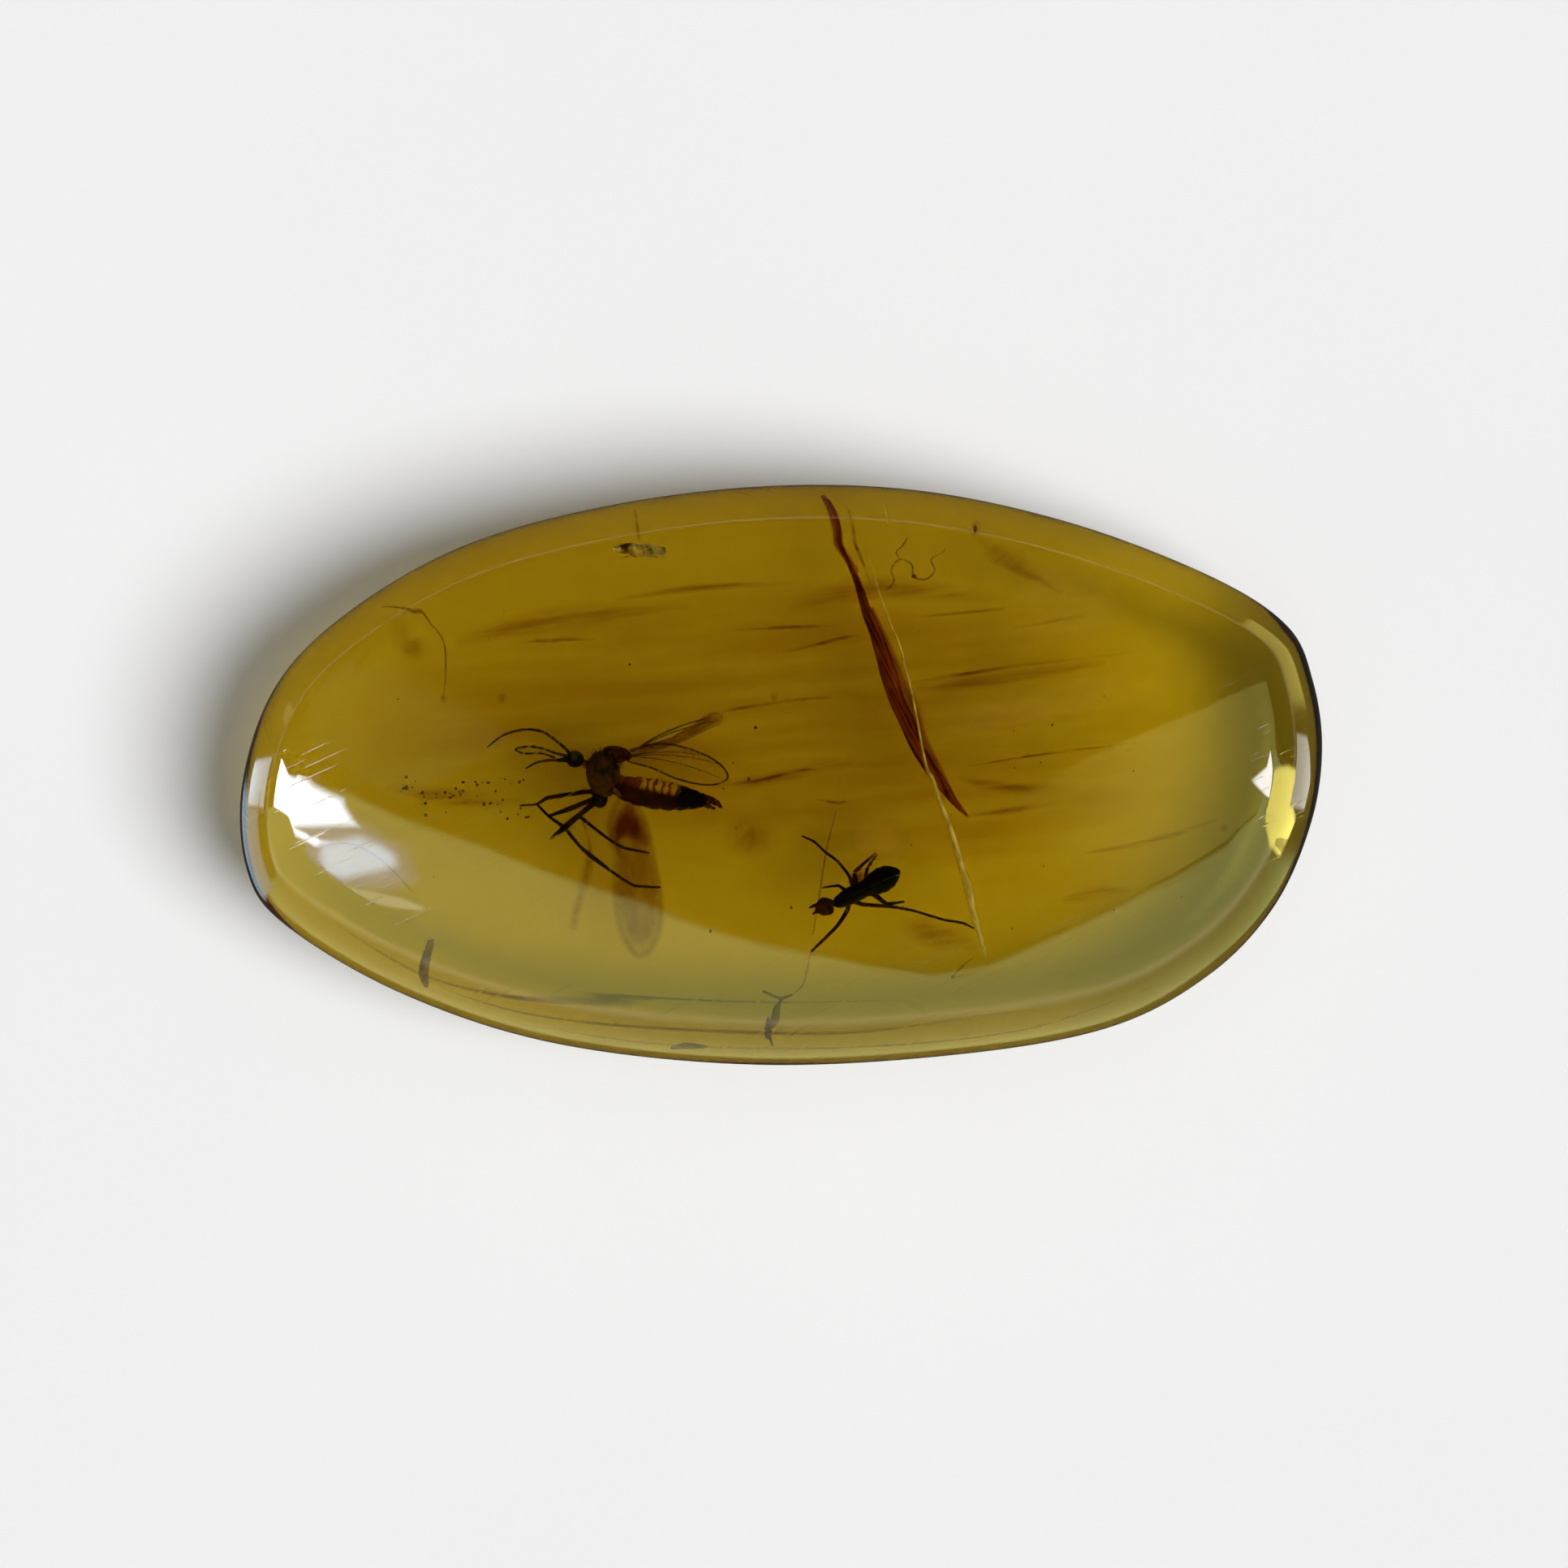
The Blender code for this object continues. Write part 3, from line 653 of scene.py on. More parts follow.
@dataclass
class Sketch:
    """One piece in the making, in millimetres; its with block ends in the finished piece.

    Every vertex carries two numbers for its finish: "along" runs from 0 to 1 down a limb, and
    "core" is 1 in the middle of a form and 0 at its edge.
    """

    name: str
    finish: Finish
    slot: Slot
    replaced: tuple[str, ...] = ()
    base_height: float = PARTING_HEIGHT

    def __enter__(self) -> Self:
        """Start an empty mesh.

        Returns:
            The sketch.
        """
        self.shape = bmesh.new()
        self.along = self.shape.verts.layers.float.new("along")
        self.core = self.shape.verts.layers.float.new("core")
        return self

    def __exit__(self, *problem: object) -> None:
        """Turn the sketch into a piece of the object, at its place and in metres.

        Args:
            problem: What went wrong in the with block, if anything did.
        """
        bmesh.ops.remove_doubles(self.shape, verts=self.shape.verts, dist=MERGE_DISTANCE)
        bmesh.ops.recalc_face_normals(self.shape, faces=self.shape.faces)
        placed = Matrix.Scale(MM, 4) @ Matrix.Translation((0, 0, self.base_height))
        bmesh.ops.transform(self.shape, matrix=placed, verts=self.shape.verts)
        piece = add_object(self.name, self.shape, self.finish.material())
        piece.data.shade_smooth()
        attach(piece, BODY)
        if self.replaced:
            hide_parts(*self.replaced)
        triangles = sum(len(face.vertices) - 2 for face in piece.data.polygons)
        REPORT.info("%s: %d triangles, %s", self.name, triangles, self.finish.name)

    def limbs(self, *limbs: Sequence[Knot], sides: int = 8, steps: int = 4,
              flatness: float = 1.0, softness: float = 1.0, rings: int = 0,
              pinch: float = 0.0) -> None:
        """Add closed tapering limbs with round ends.

        Args:
            limbs: The knots of each limb.
            sides: Faces round a limb.
            steps: Stations for each span between two knots.
            flatness: Height of the cross-section over its width.
            softness: 1 for a curved limb, 0 for straight spans with sharp knees.
            rings: Number of body rings that a limb is divided in, or 0 for a smooth limb.
            pinch: How much it narrows where two rings meet, as a share of its radius.
        """
        for limb in limbs:
            points, sizes = smooth_path(limb, steps, softness)
            last = len(sizes) - 1
            if rings:
                sizes = [size * (1 - pinch * abs(math.cos(math.pi * rings * index / last)) ** 6)
                         for index, size in enumerate(sizes)]
            start_way = (points[0] - points[1]).normalized()
            end_way = (points[-1] - points[-2]).normalized()
            for slope in END_SLOPES:
                points.insert(0, points[0] + start_way * sizes[0] * 0.5 * math.sin(slope))
                sizes.insert(0, sizes[0] * math.cos(slope))
                points.append(points[-1] + end_way * sizes[-1] * 0.5 * math.sin(slope))
                sizes.append(sizes[-1] * math.cos(slope))
            self.extrude([station(points, sizes, index, flatness)
                          for index in range(len(points))], sides)

    def extrude(self, stations: Sequence[Matrix], sides: int) -> None:
        """Draw a disc out along stations.

        Args:
            stations: The matrix of the disc at each of them.
            sides: Faces round the disc.
        """
        ring = bmesh.ops.create_circle(self.shape, cap_ends=True, segments=sides, radius=1.0,
                                       matrix=stations[0])["verts"]
        for number, vertex in enumerate(ring):
            vertex[self.core] = 1 - abs(math.sin(2 * math.pi * number / sides))
        cap = ring[0].link_faces[0]
        for index in range(1, len(stations)):
            grown = bmesh.ops.extrude_face_region(self.shape, geom=[cap])["geom"]
            ring = [part for part in grown if isinstance(part, bmesh.types.BMVert)]
            cap = next(part for part in grown if isinstance(part, bmesh.types.BMFace))
            bmesh.ops.transform(self.shape, verts=ring,
                                matrix=stations[index] @ stations[index - 1].inverted())
            for vertex in ring:
                vertex[self.along] = index / (len(stations) - 1)

    def ovals(self, *ovals: Oval, segments: int = 24, rings: int = 16) -> None:
        """Add ellipsoids.

        Args:
            ovals: The middle, half sizes and turn of each.
            segments: Faces round it.
            rings: Faces from pole to pole.
        """
        for centre, half_sizes, turn in ovals:
            matrix = (Matrix.Translation(centre) @ Matrix.Rotation(math.radians(turn), 4, "Z")
                      @ Matrix.Diagonal((*half_sizes, 1.0)))
            made = bmesh.ops.create_uvsphere(self.shape, u_segments=segments, v_segments=rings,
                                             radius=1.0, matrix=matrix)["verts"]
            back = matrix.inverted()
            for vertex in made:
                vertex[self.along] = ((back @ vertex.co).x + 1) / 2
                vertex[self.core] = 1.0

    def lens(self, blade: Blade, segments: int = 48, rings: int = 14) -> None:
        """Add a thin closed blade with a smooth outline, thickest in its middle.

        Args:
            blade: Its sizes.
            segments: Faces round it.
            rings: Faces from one side to the other.
        """
        corners = [Vector(corner) for corner in blade.outline]
        middle = sum(corners, Vector((0, 0))) / len(corners)
        made = bmesh.ops.create_uvsphere(self.shape, u_segments=segments, v_segments=rings,
                                         radius=1.0)["verts"]
        for vertex in made:
            reach = math.sqrt(max(0.0, 1 - vertex.co.z ** 2))
            edge = loop_point(corners, math.atan2(vertex.co.y, vertex.co.x) / (2 * math.pi))
            plan = middle.lerp(edge, reach)
            vertex[self.core] = 1 - reach
            vertex.co = (plan.x, plan.y, vertex.co.z * blade.thickness / 2)
        tilts = [Matrix.Rotation(math.radians(turn), 3, axis)
                 for turn, axis in zip(blade.tilt, "XY")]
        bmesh.ops.rotate(self.shape, verts=made, cent=(0, 0, 0), matrix=tilts[0] @ tilts[1])
        bmesh.ops.translate(self.shape, verts=made, vec=blade.place)

    def grain(self, centre: Point, size: float, chance: random.Random) -> None:
        """Add an uneven speck of a few faces.

        Args:
            centre: Its middle.
            size: Its mean radius.
            chance: Source of its uneven form.
        """
        made = bmesh.ops.create_icosphere(self.shape, subdivisions=1, radius=size,
                                          matrix=Matrix.Translation(centre))["verts"]
        stretch = [chance.uniform(*SPECK_STRETCH) for _ in range(3)]
        bmesh.ops.scale(self.shape, verts=made, vec=stretch,
                        space=Matrix.Translation(-Vector(centre)))
        for vertex in made:
            vertex.co += Vector([chance.uniform(-SPECK_UNEVENNESS, SPECK_UNEVENNESS) * size
                                 for _ in range(3)])
            vertex[self.core] = 1.0

    def bristle(self, root: Vector, way: Vector, length: float, thickness: float) -> None:
        """Add one stiff tapering bristle.

        Args:
            root: Where it grows from.
            way: Direction that it points in.
            length: Its length.
            thickness: Its radius at the root.
        """
        turned = way.to_track_quat("Z", "Y").to_matrix().to_4x4()
        matrix = Matrix.Translation(root + way.normalized() * length / 2) @ turned
        bmesh.ops.create_cone(self.shape, cap_ends=True, segments=5, radius1=thickness,
                              radius2=thickness * BRISTLE_TIP, depth=length, matrix=matrix)

    def roughen(self, size: float, pitch: float, seed: int) -> None:
        """Move every vertex a little, as a split or worn surface has it.

        Args:
            size: How far, at most.
            pitch: Waves for each millimetre.
            seed: Picks the waves, which are then the same each run.
        """
        noise.seed_set(seed)
        for vertex in self.shape.verts:
            vertex.co += noise.noise_vector(vertex.co * pitch) * size


# --- The stone ----------------------------------------------------------------------------------


@dataclass
class ClearStone:
    """The amber itself: one polished, slightly lopsided cabochon with a flat base."""

    thickness: float = 6.0
    girth_height: float = 2.7
    crown_rounding: float = 1.6
    base_rounding: float = 3.0
    dome_fall_ends: float = 1.15
    dome_power_ends: float = 2.6
    dome_fall_sides: float = 0.75
    dome_power_sides: float = 2.2
    half_length: float = 13.0
    half_width: float = 6.95
    segments: int = 224
    rings: int = 112
    slope_step: float = 0.004
    girth: Outline = (
        (13, 0.6), (12.78, 2.26), (12.15, 3.6), (10.3, 4.79), (6.9, 6.08), (3.2, 6.85), (-0.6, 6.93),
        (-4.5, 6.4), (-7.8, 5.43), (-10.5, 3.83), (-12.15, 2.1), (-12.93, -0.2), (-12.82, -2.28),
        (-11.9, -3.6), (-9.1, -5.25), (-5.4, -6.45), (-0.6, -6.96), (4.2, -6.72), (7.9, -6.06),
        (10.3, -4.79), (11.85, -3.15), (12.72, -1.2))

    def surface_point(self, turn: float, latitude: float) -> Vector:
        """Return a point of the skin.

        Args:
            turn: How far round the girth, from 0 to 1.
            latitude: 0 at the girth, 1 at the crown and -1 at the middle of the base.

        Returns:
            The point, with its height above the base.
        """
        edge = loop_point(self.girth, turn)
        rounding = self.base_rounding
        outward = edge.normalized()
        if latitude >= 0:
            along = (loop_point(self.girth, turn + self.slope_step)
                     - loop_point(self.girth, turn - self.slope_step))
            rounding = self.crown_rounding
            outward = Vector((along.y, -along.x)).normalized()
        reach = abs(latitude)
        bend = min(reach, 0.5) * math.pi
        plan = edge - outward * rounding * (1 - math.cos(bend))
        if reach > 0.5:
            plan = (edge - outward * rounding) * (2 - 2 * reach)
        rise = math.sin(bend)
        height = self.girth_height * (1 - rise)
        if latitude >= 0:
            crown = (self.thickness
                     - self.dome_fall_ends * (abs(plan.x) / self.half_length) ** self.dome_power_ends
                     - self.dome_fall_sides * (abs(plan.y) / self.half_width) ** self.dome_power_sides)
            height = self.girth_height + (crown - self.girth_height) * rise
        return Vector((plan.x, plan.y, height))

    def build(self) -> None:
        """Build the stone from a sphere whose rings are drawn out to the cabochon's form."""
        with Sketch("amber_stone", AMBER, Slot.AMBER, ("amber_upper", "amber_lower"), 0.0) as stone:
            made = bmesh.ops.create_uvsphere(stone.shape, u_segments=self.segments,
                                             v_segments=self.rings, radius=1.0)["verts"]
            for vertex in made:
                latitude = math.asin(max(-1.0, min(1.0, vertex.co.z))) / (math.pi / 2)
                turn = math.atan2(vertex.co.y, vertex.co.x) / (2 * math.pi)
                vertex.co = self.surface_point(turn, latitude)
                vertex[stone.core] = abs(latitude)


# --- The gnat -----------------------------------------------------------------------------------


@dataclass
class Gnat:
    """The long-legged gnat, lying on its side with one wing up, one across and one hanging."""

    head: Oval = ((-4.83, 0.37, 0.15), (0.21, 0.2, 0.19), 0)
    eye: Oval = ((-4.81, 0.4, 0.21), (0.16, 0.15, 0.15), 0)
    thorax: Oval = ((-4.17, 0.02, 0.08), (0.4, 0.55, 0.41), 8)
    shield: Oval = ((-4.22, 0.22, 0.26), (0.24, 0.24, 0.26), 20)
    balancer: Oval = ((-3.84, -0.4, 0.3), (0.13, 0.05, 0.06), -50)
    hips: Oval = ((-4.25, -0.52, 0), (0.19, 0.25, 0.2), 0)
    wing_muscles: tuple[Oval, ...] = (
        ((-3.84, 0.5, 0.12), (0.36, 0.17, 0.17), -12), ((-3.78, 0.4, 0.2), (0.16, 0.13, 0.15), 30))
    neck: Limb = ((-4.85, 0.36, 0.15, 0.08), (-4.6, 0.28, 0.13, 0.07), (-4.35, 0.15, 0.08, 0.14))
    snout: Limb = ((-4.9, 0.37, 0.15, 0.12), (-5.08, 0.36, 0.12, 0.06), (-5.24, 0.35, 0.08, 0.03))
    abdomen: Limb = (
        (-3.98, -0.14, 0.06, 0.2), (-3.72, -0.28, 0.04, 0.27), (-3.42, -0.36, 0.03, 0.33),
        (-3.02, -0.43, 0.02, 0.36), (-2.58, -0.5, 0.02, 0.33), (-2.22, -0.55, 0.02, 0.27),
        (-1.95, -0.58, 0.03, 0.2), (-1.78, -0.6, 0.04, 0.15))
    claspers: tuple[Limb, ...] = (
        ((-1.85, -0.56, 0.06, 0.12), (-1.66, -0.58, 0.08, 0.09), (-1.5, -0.66, 0.08, 0.07),
         (-1.4, -0.75, 0.06, 0.03)),
        ((-1.85, -0.62, -0.02, 0.11), (-1.7, -0.72, -0.06, 0.06), (-1.55, -0.78, -0.06, 0.025)))
    feelers: tuple[Limb, ...] = (
        ((-4.9, 0.44, 0.2, 0.05), (-5.08, 0.64, 0.25, 0.04), (-5.36, 0.86, 0.3, 0.035),
         (-5.61, 1.01, 0.32, 0.035), (-6.03, 1.05, 0.34, 0.03), (-6.5, 0.92, 0.34, 0.03),
         (-6.88, 0.64, 0.32, 0.02)),
        ((-4.92, 0.42, 0.12, 0.05), (-5.27, 0.5, 0.08, 0.035), (-5.55, 0.6, 0.06, 0.03),
         (-5.9, 0.66, 0.04, 0.03), (-6.22, 0.6, 0.02, 0.025), (-6.02, 0.5, 0, 0.025),
         (-5.62, 0.5, 0, 0.025), (-5.3, 0.4, 0.05, 0.03)),
        ((-4.95, 0.34, 0.08, 0.05), (-5.45, 0.34, 0, 0.035), (-5.74, 0.28, -0.05, 0.03),
         (-5.99, 0.15, -0.08, 0.02)))
    legs: tuple[Limb, ...] = (
        ((-4.28, -0.38, 0.06, 0.07), (-4.62, -0.4, 0.16, 0.055), (-5.46, -0.53, 0.2, 0.05),
         (-5.72, -0.68, 0.16, 0.028), (-6.12, -0.71, 0.1, 0.018)),
        ((-4.25, -0.52, 0, 0.08), (-4.55, -0.62, 0.02, 0.06), (-4.97, -0.79, 0.02, 0.065),
         (-5.46, -0.96, -0.02, 0.03)),
        ((-4.3, -0.58, -0.05, 0.08), (-4.7, -0.9, -0.12, 0.065), (-5.08, -1.22, -0.14, 0.08),
         (-5.41, -1.48, -0.12, 0.025)),
        ((-5.72, -0.68, 0.14, 0.03), (-5.43, -0.97, -0.02, 0.035), (-5.08, -1.22, -0.14, 0.05),
         (-4.72, -1.65, -0.2, 0.04), (-4.42, -1.9, -0.22, 0.06), (-3.97, -2.23, -0.2, 0.035),
         (-3.46, -2.55, -0.16, 0.035), (-2.84, -2.59, -0.12, 0.025)),
        ((-4.75, -0.94, -0.12, 0.05), (-4.55, -1.1, -0.16, 0.04), (-4.09, -1.45, -0.2, 0.035),
         (-3.7, -1.68, -0.2, 0.035), (-3.1, -1.8, -0.18, 0.028)))
    hanging_leg: Limb = (
        (-4.66, -1.02, -0.14, 0.04), (-4.5, -1.6, -0.42, 0.06), (-4.55, -2.2, -0.66, 0.16),
        (-4.92, -3.5, -0.9, 0.14))
    knee_softness: float = 0.35
    # Length and radius; a leg's bristle also reaches out of the leg itself.
    leg_bristle: Point2D = (0.05, 0.008)
    leg_bristle_lean: float = 0.9
    thorax_bristle: Point2D = (0.14, 0.01)
    thorax_bristles: int = 40
    bristle_margin: float = 0.2
    bristle_rise: Point2D = (0.1, 0.9)
    side_wing: Blade = Blade(
        (-3.6, 0.44, 0.06), ((0, 0.1), (0.02, -0.12), (0.58, -0.28), (1.2, -0.55), (1.85, -0.68),
        (2.26, -0.62), (2.38, -0.42), (2.05, -0.08), (1.42, 0.18), (0.83, 0.29), (0.35, 0.22)), 0.05,
        (0, 4))
    raised_wing: Blade = Blade(
        (-3.5, 0.54, 0.14), ((0, 0.06), (-0.02, -0.1), (0.5, -0.02), (1.2, 0.22), (1.85, 0.52),
        (2.12, 0.66), (2.14, 0.84), (1.86, 0.9), (1.4, 0.62), (0.75, 0.26)), 0.06, (0, -6))
    hanging_wing: Blade = Blade(
        (-3.64, -0.58, -0.1), ((0.1, 0.1), (-0.14, 0.04), (-0.4, -0.62), (-0.24, -1.3), (-0.25, -2.3),
        (-0.12, -3.12), (0.14, -3.6), (0.42, -3.68), (0.64, -3.42), (0.8, -2.9), (0.76, -2.1),
        (0.62, -1.3), (0.4, -0.4)), 0.1, (13, 0))
    wing_base: Blade = Blade(
        (-3.64, -0.58, -0.1), ((0.05, 0.15), (-0.2, -0.1), (-0.52, -0.7), (-0.42, -1.15), (-0.1, -0.95),
        (0.15, -1), (0.6, -1.2), (0.62, -0.75), (0.3, -0.1)), 0.3, (13, 0))
    # Ends of the veins from the wing's root, and their radii.
    side_veins: tuple[Point, ...] = ((2.2, -0.52, 0.014), (2.22, -0.2, 0.014), (1.75, 0.02, 0.014))
    raised_veins: tuple[Point, ...] = ((1.8, 0.78, 0.024), (2.06, 0.72, 0.016))
    vein_bow: float = 0.05
    vein_lift: float = 0.02
    vein_taper: tuple[Point2D, ...] = ((0, 1), (0.35, 1), (0.7, 0.8), (1, 0.5))
    side_rim: float = 0.022
    hanging_rim: float = 0.13
    rim_inset: float = 0.985
    rim_steps: int = 4
    chance: random.Random = field(default_factory=lambda: random.Random(7))

    def build(self) -> None:
        """Build and dress the whole gnat."""
        self.build_trunk()
        self.build_legs()
        self.build_wings()

    def build_trunk(self) -> None:
        """Build the thorax with its bristles, the head with its eye, and the abdomen."""
        with Sketch("gnat_thorax", BROWN_CUTICLE, Slot.GNAT, ("gnat",)) as trunk:
            trunk.ovals(self.thorax, self.shield)
            trunk.limbs(self.neck, sides=12)
            middle, half_sizes, _ = self.thorax
            for _ in range(self.thorax_bristles):
                turn = self.chance.uniform(self.bristle_margin, math.pi - self.bristle_margin)
                rise = self.chance.uniform(*self.bristle_rise)
                way = Vector((math.cos(turn), math.sin(turn), rise))
                reach = [part * size for part, size in zip(way.normalized(), half_sizes)]
                trunk.bristle(Vector(middle) + Vector(reach), way, *self.thorax_bristle)
        with Sketch("gnat_wing_roots", RED_CUTICLE, Slot.GNAT) as muscles:
            muscles.ovals(*self.wing_muscles)
        with Sketch("gnat_balancer", PALE_CUTICLE, Slot.GNAT) as balancer:
            balancer.ovals(self.balancer)
        with Sketch("gnat_head", BLACK_CUTICLE, Slot.GNAT) as head:
            head.ovals(self.head, self.hips)
            head.limbs(self.snout, sides=10)
        with Sketch("gnat_eye", EYE_CUTICLE, Slot.GNAT) as eye:
            eye.ovals(self.eye, segments=28, rings=20)
        with Sketch("gnat_feelers", FINE_CUTICLE, Slot.GNAT) as feelers:
            feelers.limbs(*self.feelers, sides=7, steps=6, rings=14, pinch=0.25)
        with Sketch("gnat_abdomen", ABDOMEN_CUTICLE, Slot.GNAT) as abdomen:
            abdomen.limbs(self.abdomen, sides=28, steps=10, rings=8, pinch=0.07)
        with Sketch("gnat_claspers", RED_CUTICLE, Slot.GNAT) as claspers:
            claspers.limbs(*self.claspers, sides=12, steps=5)

    def build_legs(self) -> None:
        """Build the folded legs with their bristles, and the blurred hanging leg."""
        length, radius = self.leg_bristle
        with Sketch("gnat_legs", LEG_CUTICLE, Slot.GNAT) as legs:
            for leg in self.legs:
                legs.limbs(leg, sides=10, steps=6, softness=self.knee_softness)
                points, sizes = smooth_path(leg, 5, self.knee_softness)
                for start, end, size in zip(points, points[1:], sizes):
                    forward = (end - start).normalized()
                    side = forward.cross(Vector((0, 0, 1))) * self.chance.choice((-1, 1))
                    way = side + forward * self.leg_bristle_lean
                    legs.bristle(start, way, size + length, radius)
        with Sketch("gnat_hanging_leg", WING_BLUR_RIM, Slot.GNAT) as hanging:
            hanging.limbs(self.hanging_leg, sides=12, steps=8, flatness=0.4)

    def build_wings(self) -> None:
        """Build the wing blades, the veins that stiffen two of them, and two rims."""
        for name, finish, wing, segments in (
                ("gnat_side_wing", WING_MEMBRANE, self.side_wing, 48),
                ("gnat_raised_wing", WING_STREAK, self.raised_wing, 48)):
            with Sketch(name, finish, Slot.GNAT) as blade:
                blade.lens(wing, segments)
        with Sketch("gnat_wing_veins", WING_VEIN, Slot.GNAT) as veins:
            self.add_rim(veins, self.side_wing, self.side_rim)
            for wing, ends in ((self.side_wing, self.side_veins),
                               (self.raised_wing, self.raised_veins)):
                for end in ends:
                    self.add_vein(veins, wing.place, end)
        with Sketch("gnat_hanging_wing", WING_BLUR, Slot.GNAT) as hanging:
            hanging.lens(self.hanging_wing, 64)
        with Sketch("gnat_hanging_wing_rim", WING_BLUR_RIM, Slot.GNAT) as rim:
            self.add_rim(rim, self.hanging_wing, self.hanging_rim)
        with Sketch("gnat_wing_base", WING_PATCH, Slot.GNAT) as patch:
            patch.lens(self.wing_base, 40)

    def add_vein(self, sketch: Sketch, root: Point, end: Point) -> None:
        """Add one curved vein from a wing's root.

        Args:
            sketch: Sketch that the vein joins.
            root: The wing's root.
            end: End of the vein from the root, and its radius at the root.
        """
        reach = Vector(end[:2])
        bow = Vector((-reach.y, reach.x)) * self.vein_bow
        knots = []
        for share, width in self.vein_taper:
            plan = reach * share + bow * math.sin(math.pi * share)
            knots.append((root[0] + plan.x, root[1] + plan.y, root[2] + self.vein_lift,
                          end[2] * width))
        sketch.limbs(knots, sides=6, steps=5)

    def add_rim(self, sketch: Sketch, wing: Blade, radius: float) -> None:
        """Add the thickened rim that runs round a wing.

        Args:
            sketch: Sketch that the rim joins.
            wing: The wing.
            radius: Radius of the rim.
        """
        turned = Matrix.Rotation(math.radians(wing.tilt[0]), 3, "X")
        count = len(wing.outline) * self.rim_steps
        knots = []
        for number in range(1, count):
            plan = loop_point(wing.outline, number / count) * self.rim_inset
            knots.append((*(Vector(wing.place) + turned @ plan.to_3d()), radius))
        sketch.limbs(knots, steps=1, flatness=0.6)


# --- The ant ------------------------------------------------------------------------------------


@dataclass
class Ant:
    """The small black ant, seen from its side with its legs spread."""

    head: Oval = ((1.04, -3.03, 0.02), (0.22, 0.21, 0.19), 20)
    head_lumps: tuple[Oval, ...] = (
        ((1.13, -3.11, 0), (0.13, 0.12, 0.13), 0), ((1, -2.9, 0.1), (0.09, 0.08, 0.08), 0),
        ((0.9, -3.12, 0.04), (0.1, 0.08, 0.09), 0), ((1.16, -2.95, 0.06), (0.09, 0.1, 0.1), 0))
    trunk: Limb = (
        (1.3, -2.96, 0.02, 0.12), (1.46, -2.88, 0.02, 0.18), (1.7, -2.76, 0.02, 0.21),
        (1.94, -2.64, 0.03, 0.2), (2.14, -2.54, 0.04, 0.25), (2.36, -2.43, 0.04, 0.3),
        (2.58, -2.32, 0.04, 0.26), (2.72, -2.25, 0.04, 0.15))
    neck: Limb = ((1.1, -3.01, 0.02, 0.08), (1.3, -2.93, 0.02, 0.05), (1.5, -2.84, 0.02, 0.1))
    jaws: tuple[Limb, ...] = (
        ((0.95, -3.03, 0.02, 0.08), (0.8, -3.01, 0.02, 0.05), (0.68, -3.06, 0.02, 0.02)),
        ((0.95, -3.1, 0.02, 0.07), (0.84, -3.15, 0, 0.04), (0.76, -3.2, 0, 0.02)))
    legs: tuple[Limb, ...] = (
        ((1.72, -2.62, 0.06, 0.06), (1.61, -2.32, 0.18, 0.04), (1.34, -1.99, 0.24, 0.035),
         (1.05, -1.78, 0.24, 0.03), (0.79, -1.54, 0.2, 0.03), (0.5, -1.41, 0.16, 0.02)),
        ((1.6, -2.72, 0, 0.05), (1.36, -2.55, 0.1, 0.035), (0.98, -2.6, 0.1, 0.02)),
        ((1.8, -2.62, -0.02, 0.07), (1.74, -2.26, -0.14, 0.05), (1.95, -2.05, -0.2, 0.04),
         (2.24, -1.8, -0.2, 0.03)),
        ((1.98, -2.52, 0.06, 0.06), (2.04, -2.16, 0.18, 0.04), (2.26, -1.84, 0.22, 0.03)),
        ((2.05, -2.6, 0, 0.08), (2.22, -2.76, 0.06, 0.07), (2.5, -2.97, 0.1, 0.045),
         (2.9, -2.92, 0.1, 0.025)),
        ((1.66, -2.85, -0.02, 0.07), (1.92, -2.98, -0.1, 0.05), (2.58, -3.03, -0.16, 0.04),
         (3.11, -3.12, -0.18, 0.03), (3.82, -3.33, -0.18, 0.03), (4.29, -3.41, -0.16, 0.03),
         (4.54, -3.53, -0.14, 0.02)),
        ((1.6, -2.85, -0.04, 0.07), (1.58, -3.1, -0.12, 0.055), (1.33, -3.48, -0.2, 0.045),
         (0.73, -4.06, -0.22, 0.03)))
    hip_film: Blade = Blade(
        (0, 0, 0), ((1.55, -2.5), (1.7, -2.62), (1.98, -2.48), (2.02, -2.24), (1.9, -2.16), (1.7, -2.26)),
        0.1)

    def build(self) -> None:
        """Build and dress the whole ant."""
        with Sketch("ant_body", ANT_BLACK, Slot.ANT, ("ant",)) as body:
            body.limbs(self.trunk, sides=28, steps=8, flatness=0.93, rings=9, pinch=0.05)
        with Sketch("ant_head", ANT_BROWN, Slot.ANT) as head:
            head.ovals(self.head)
            head.limbs(*self.jaws, sides=10)
            head.ovals(*self.head_lumps, segments=14, rings=10)
        with Sketch("ant_neck", ANT_PALE, Slot.ANT) as neck:
            neck.limbs(self.neck, sides=12)
        with Sketch("ant_legs", ANT_LEG, Slot.ANT) as legs:
            legs.limbs(*self.legs, steps=5, softness=0.5)
        with Sketch("ant_hip_film", WING_PATCH, Slot.ANT) as film:
            film.lens(self.hip_film, 24, 8)


# --- Plant and bark debris ----------------------------------------------------------------------


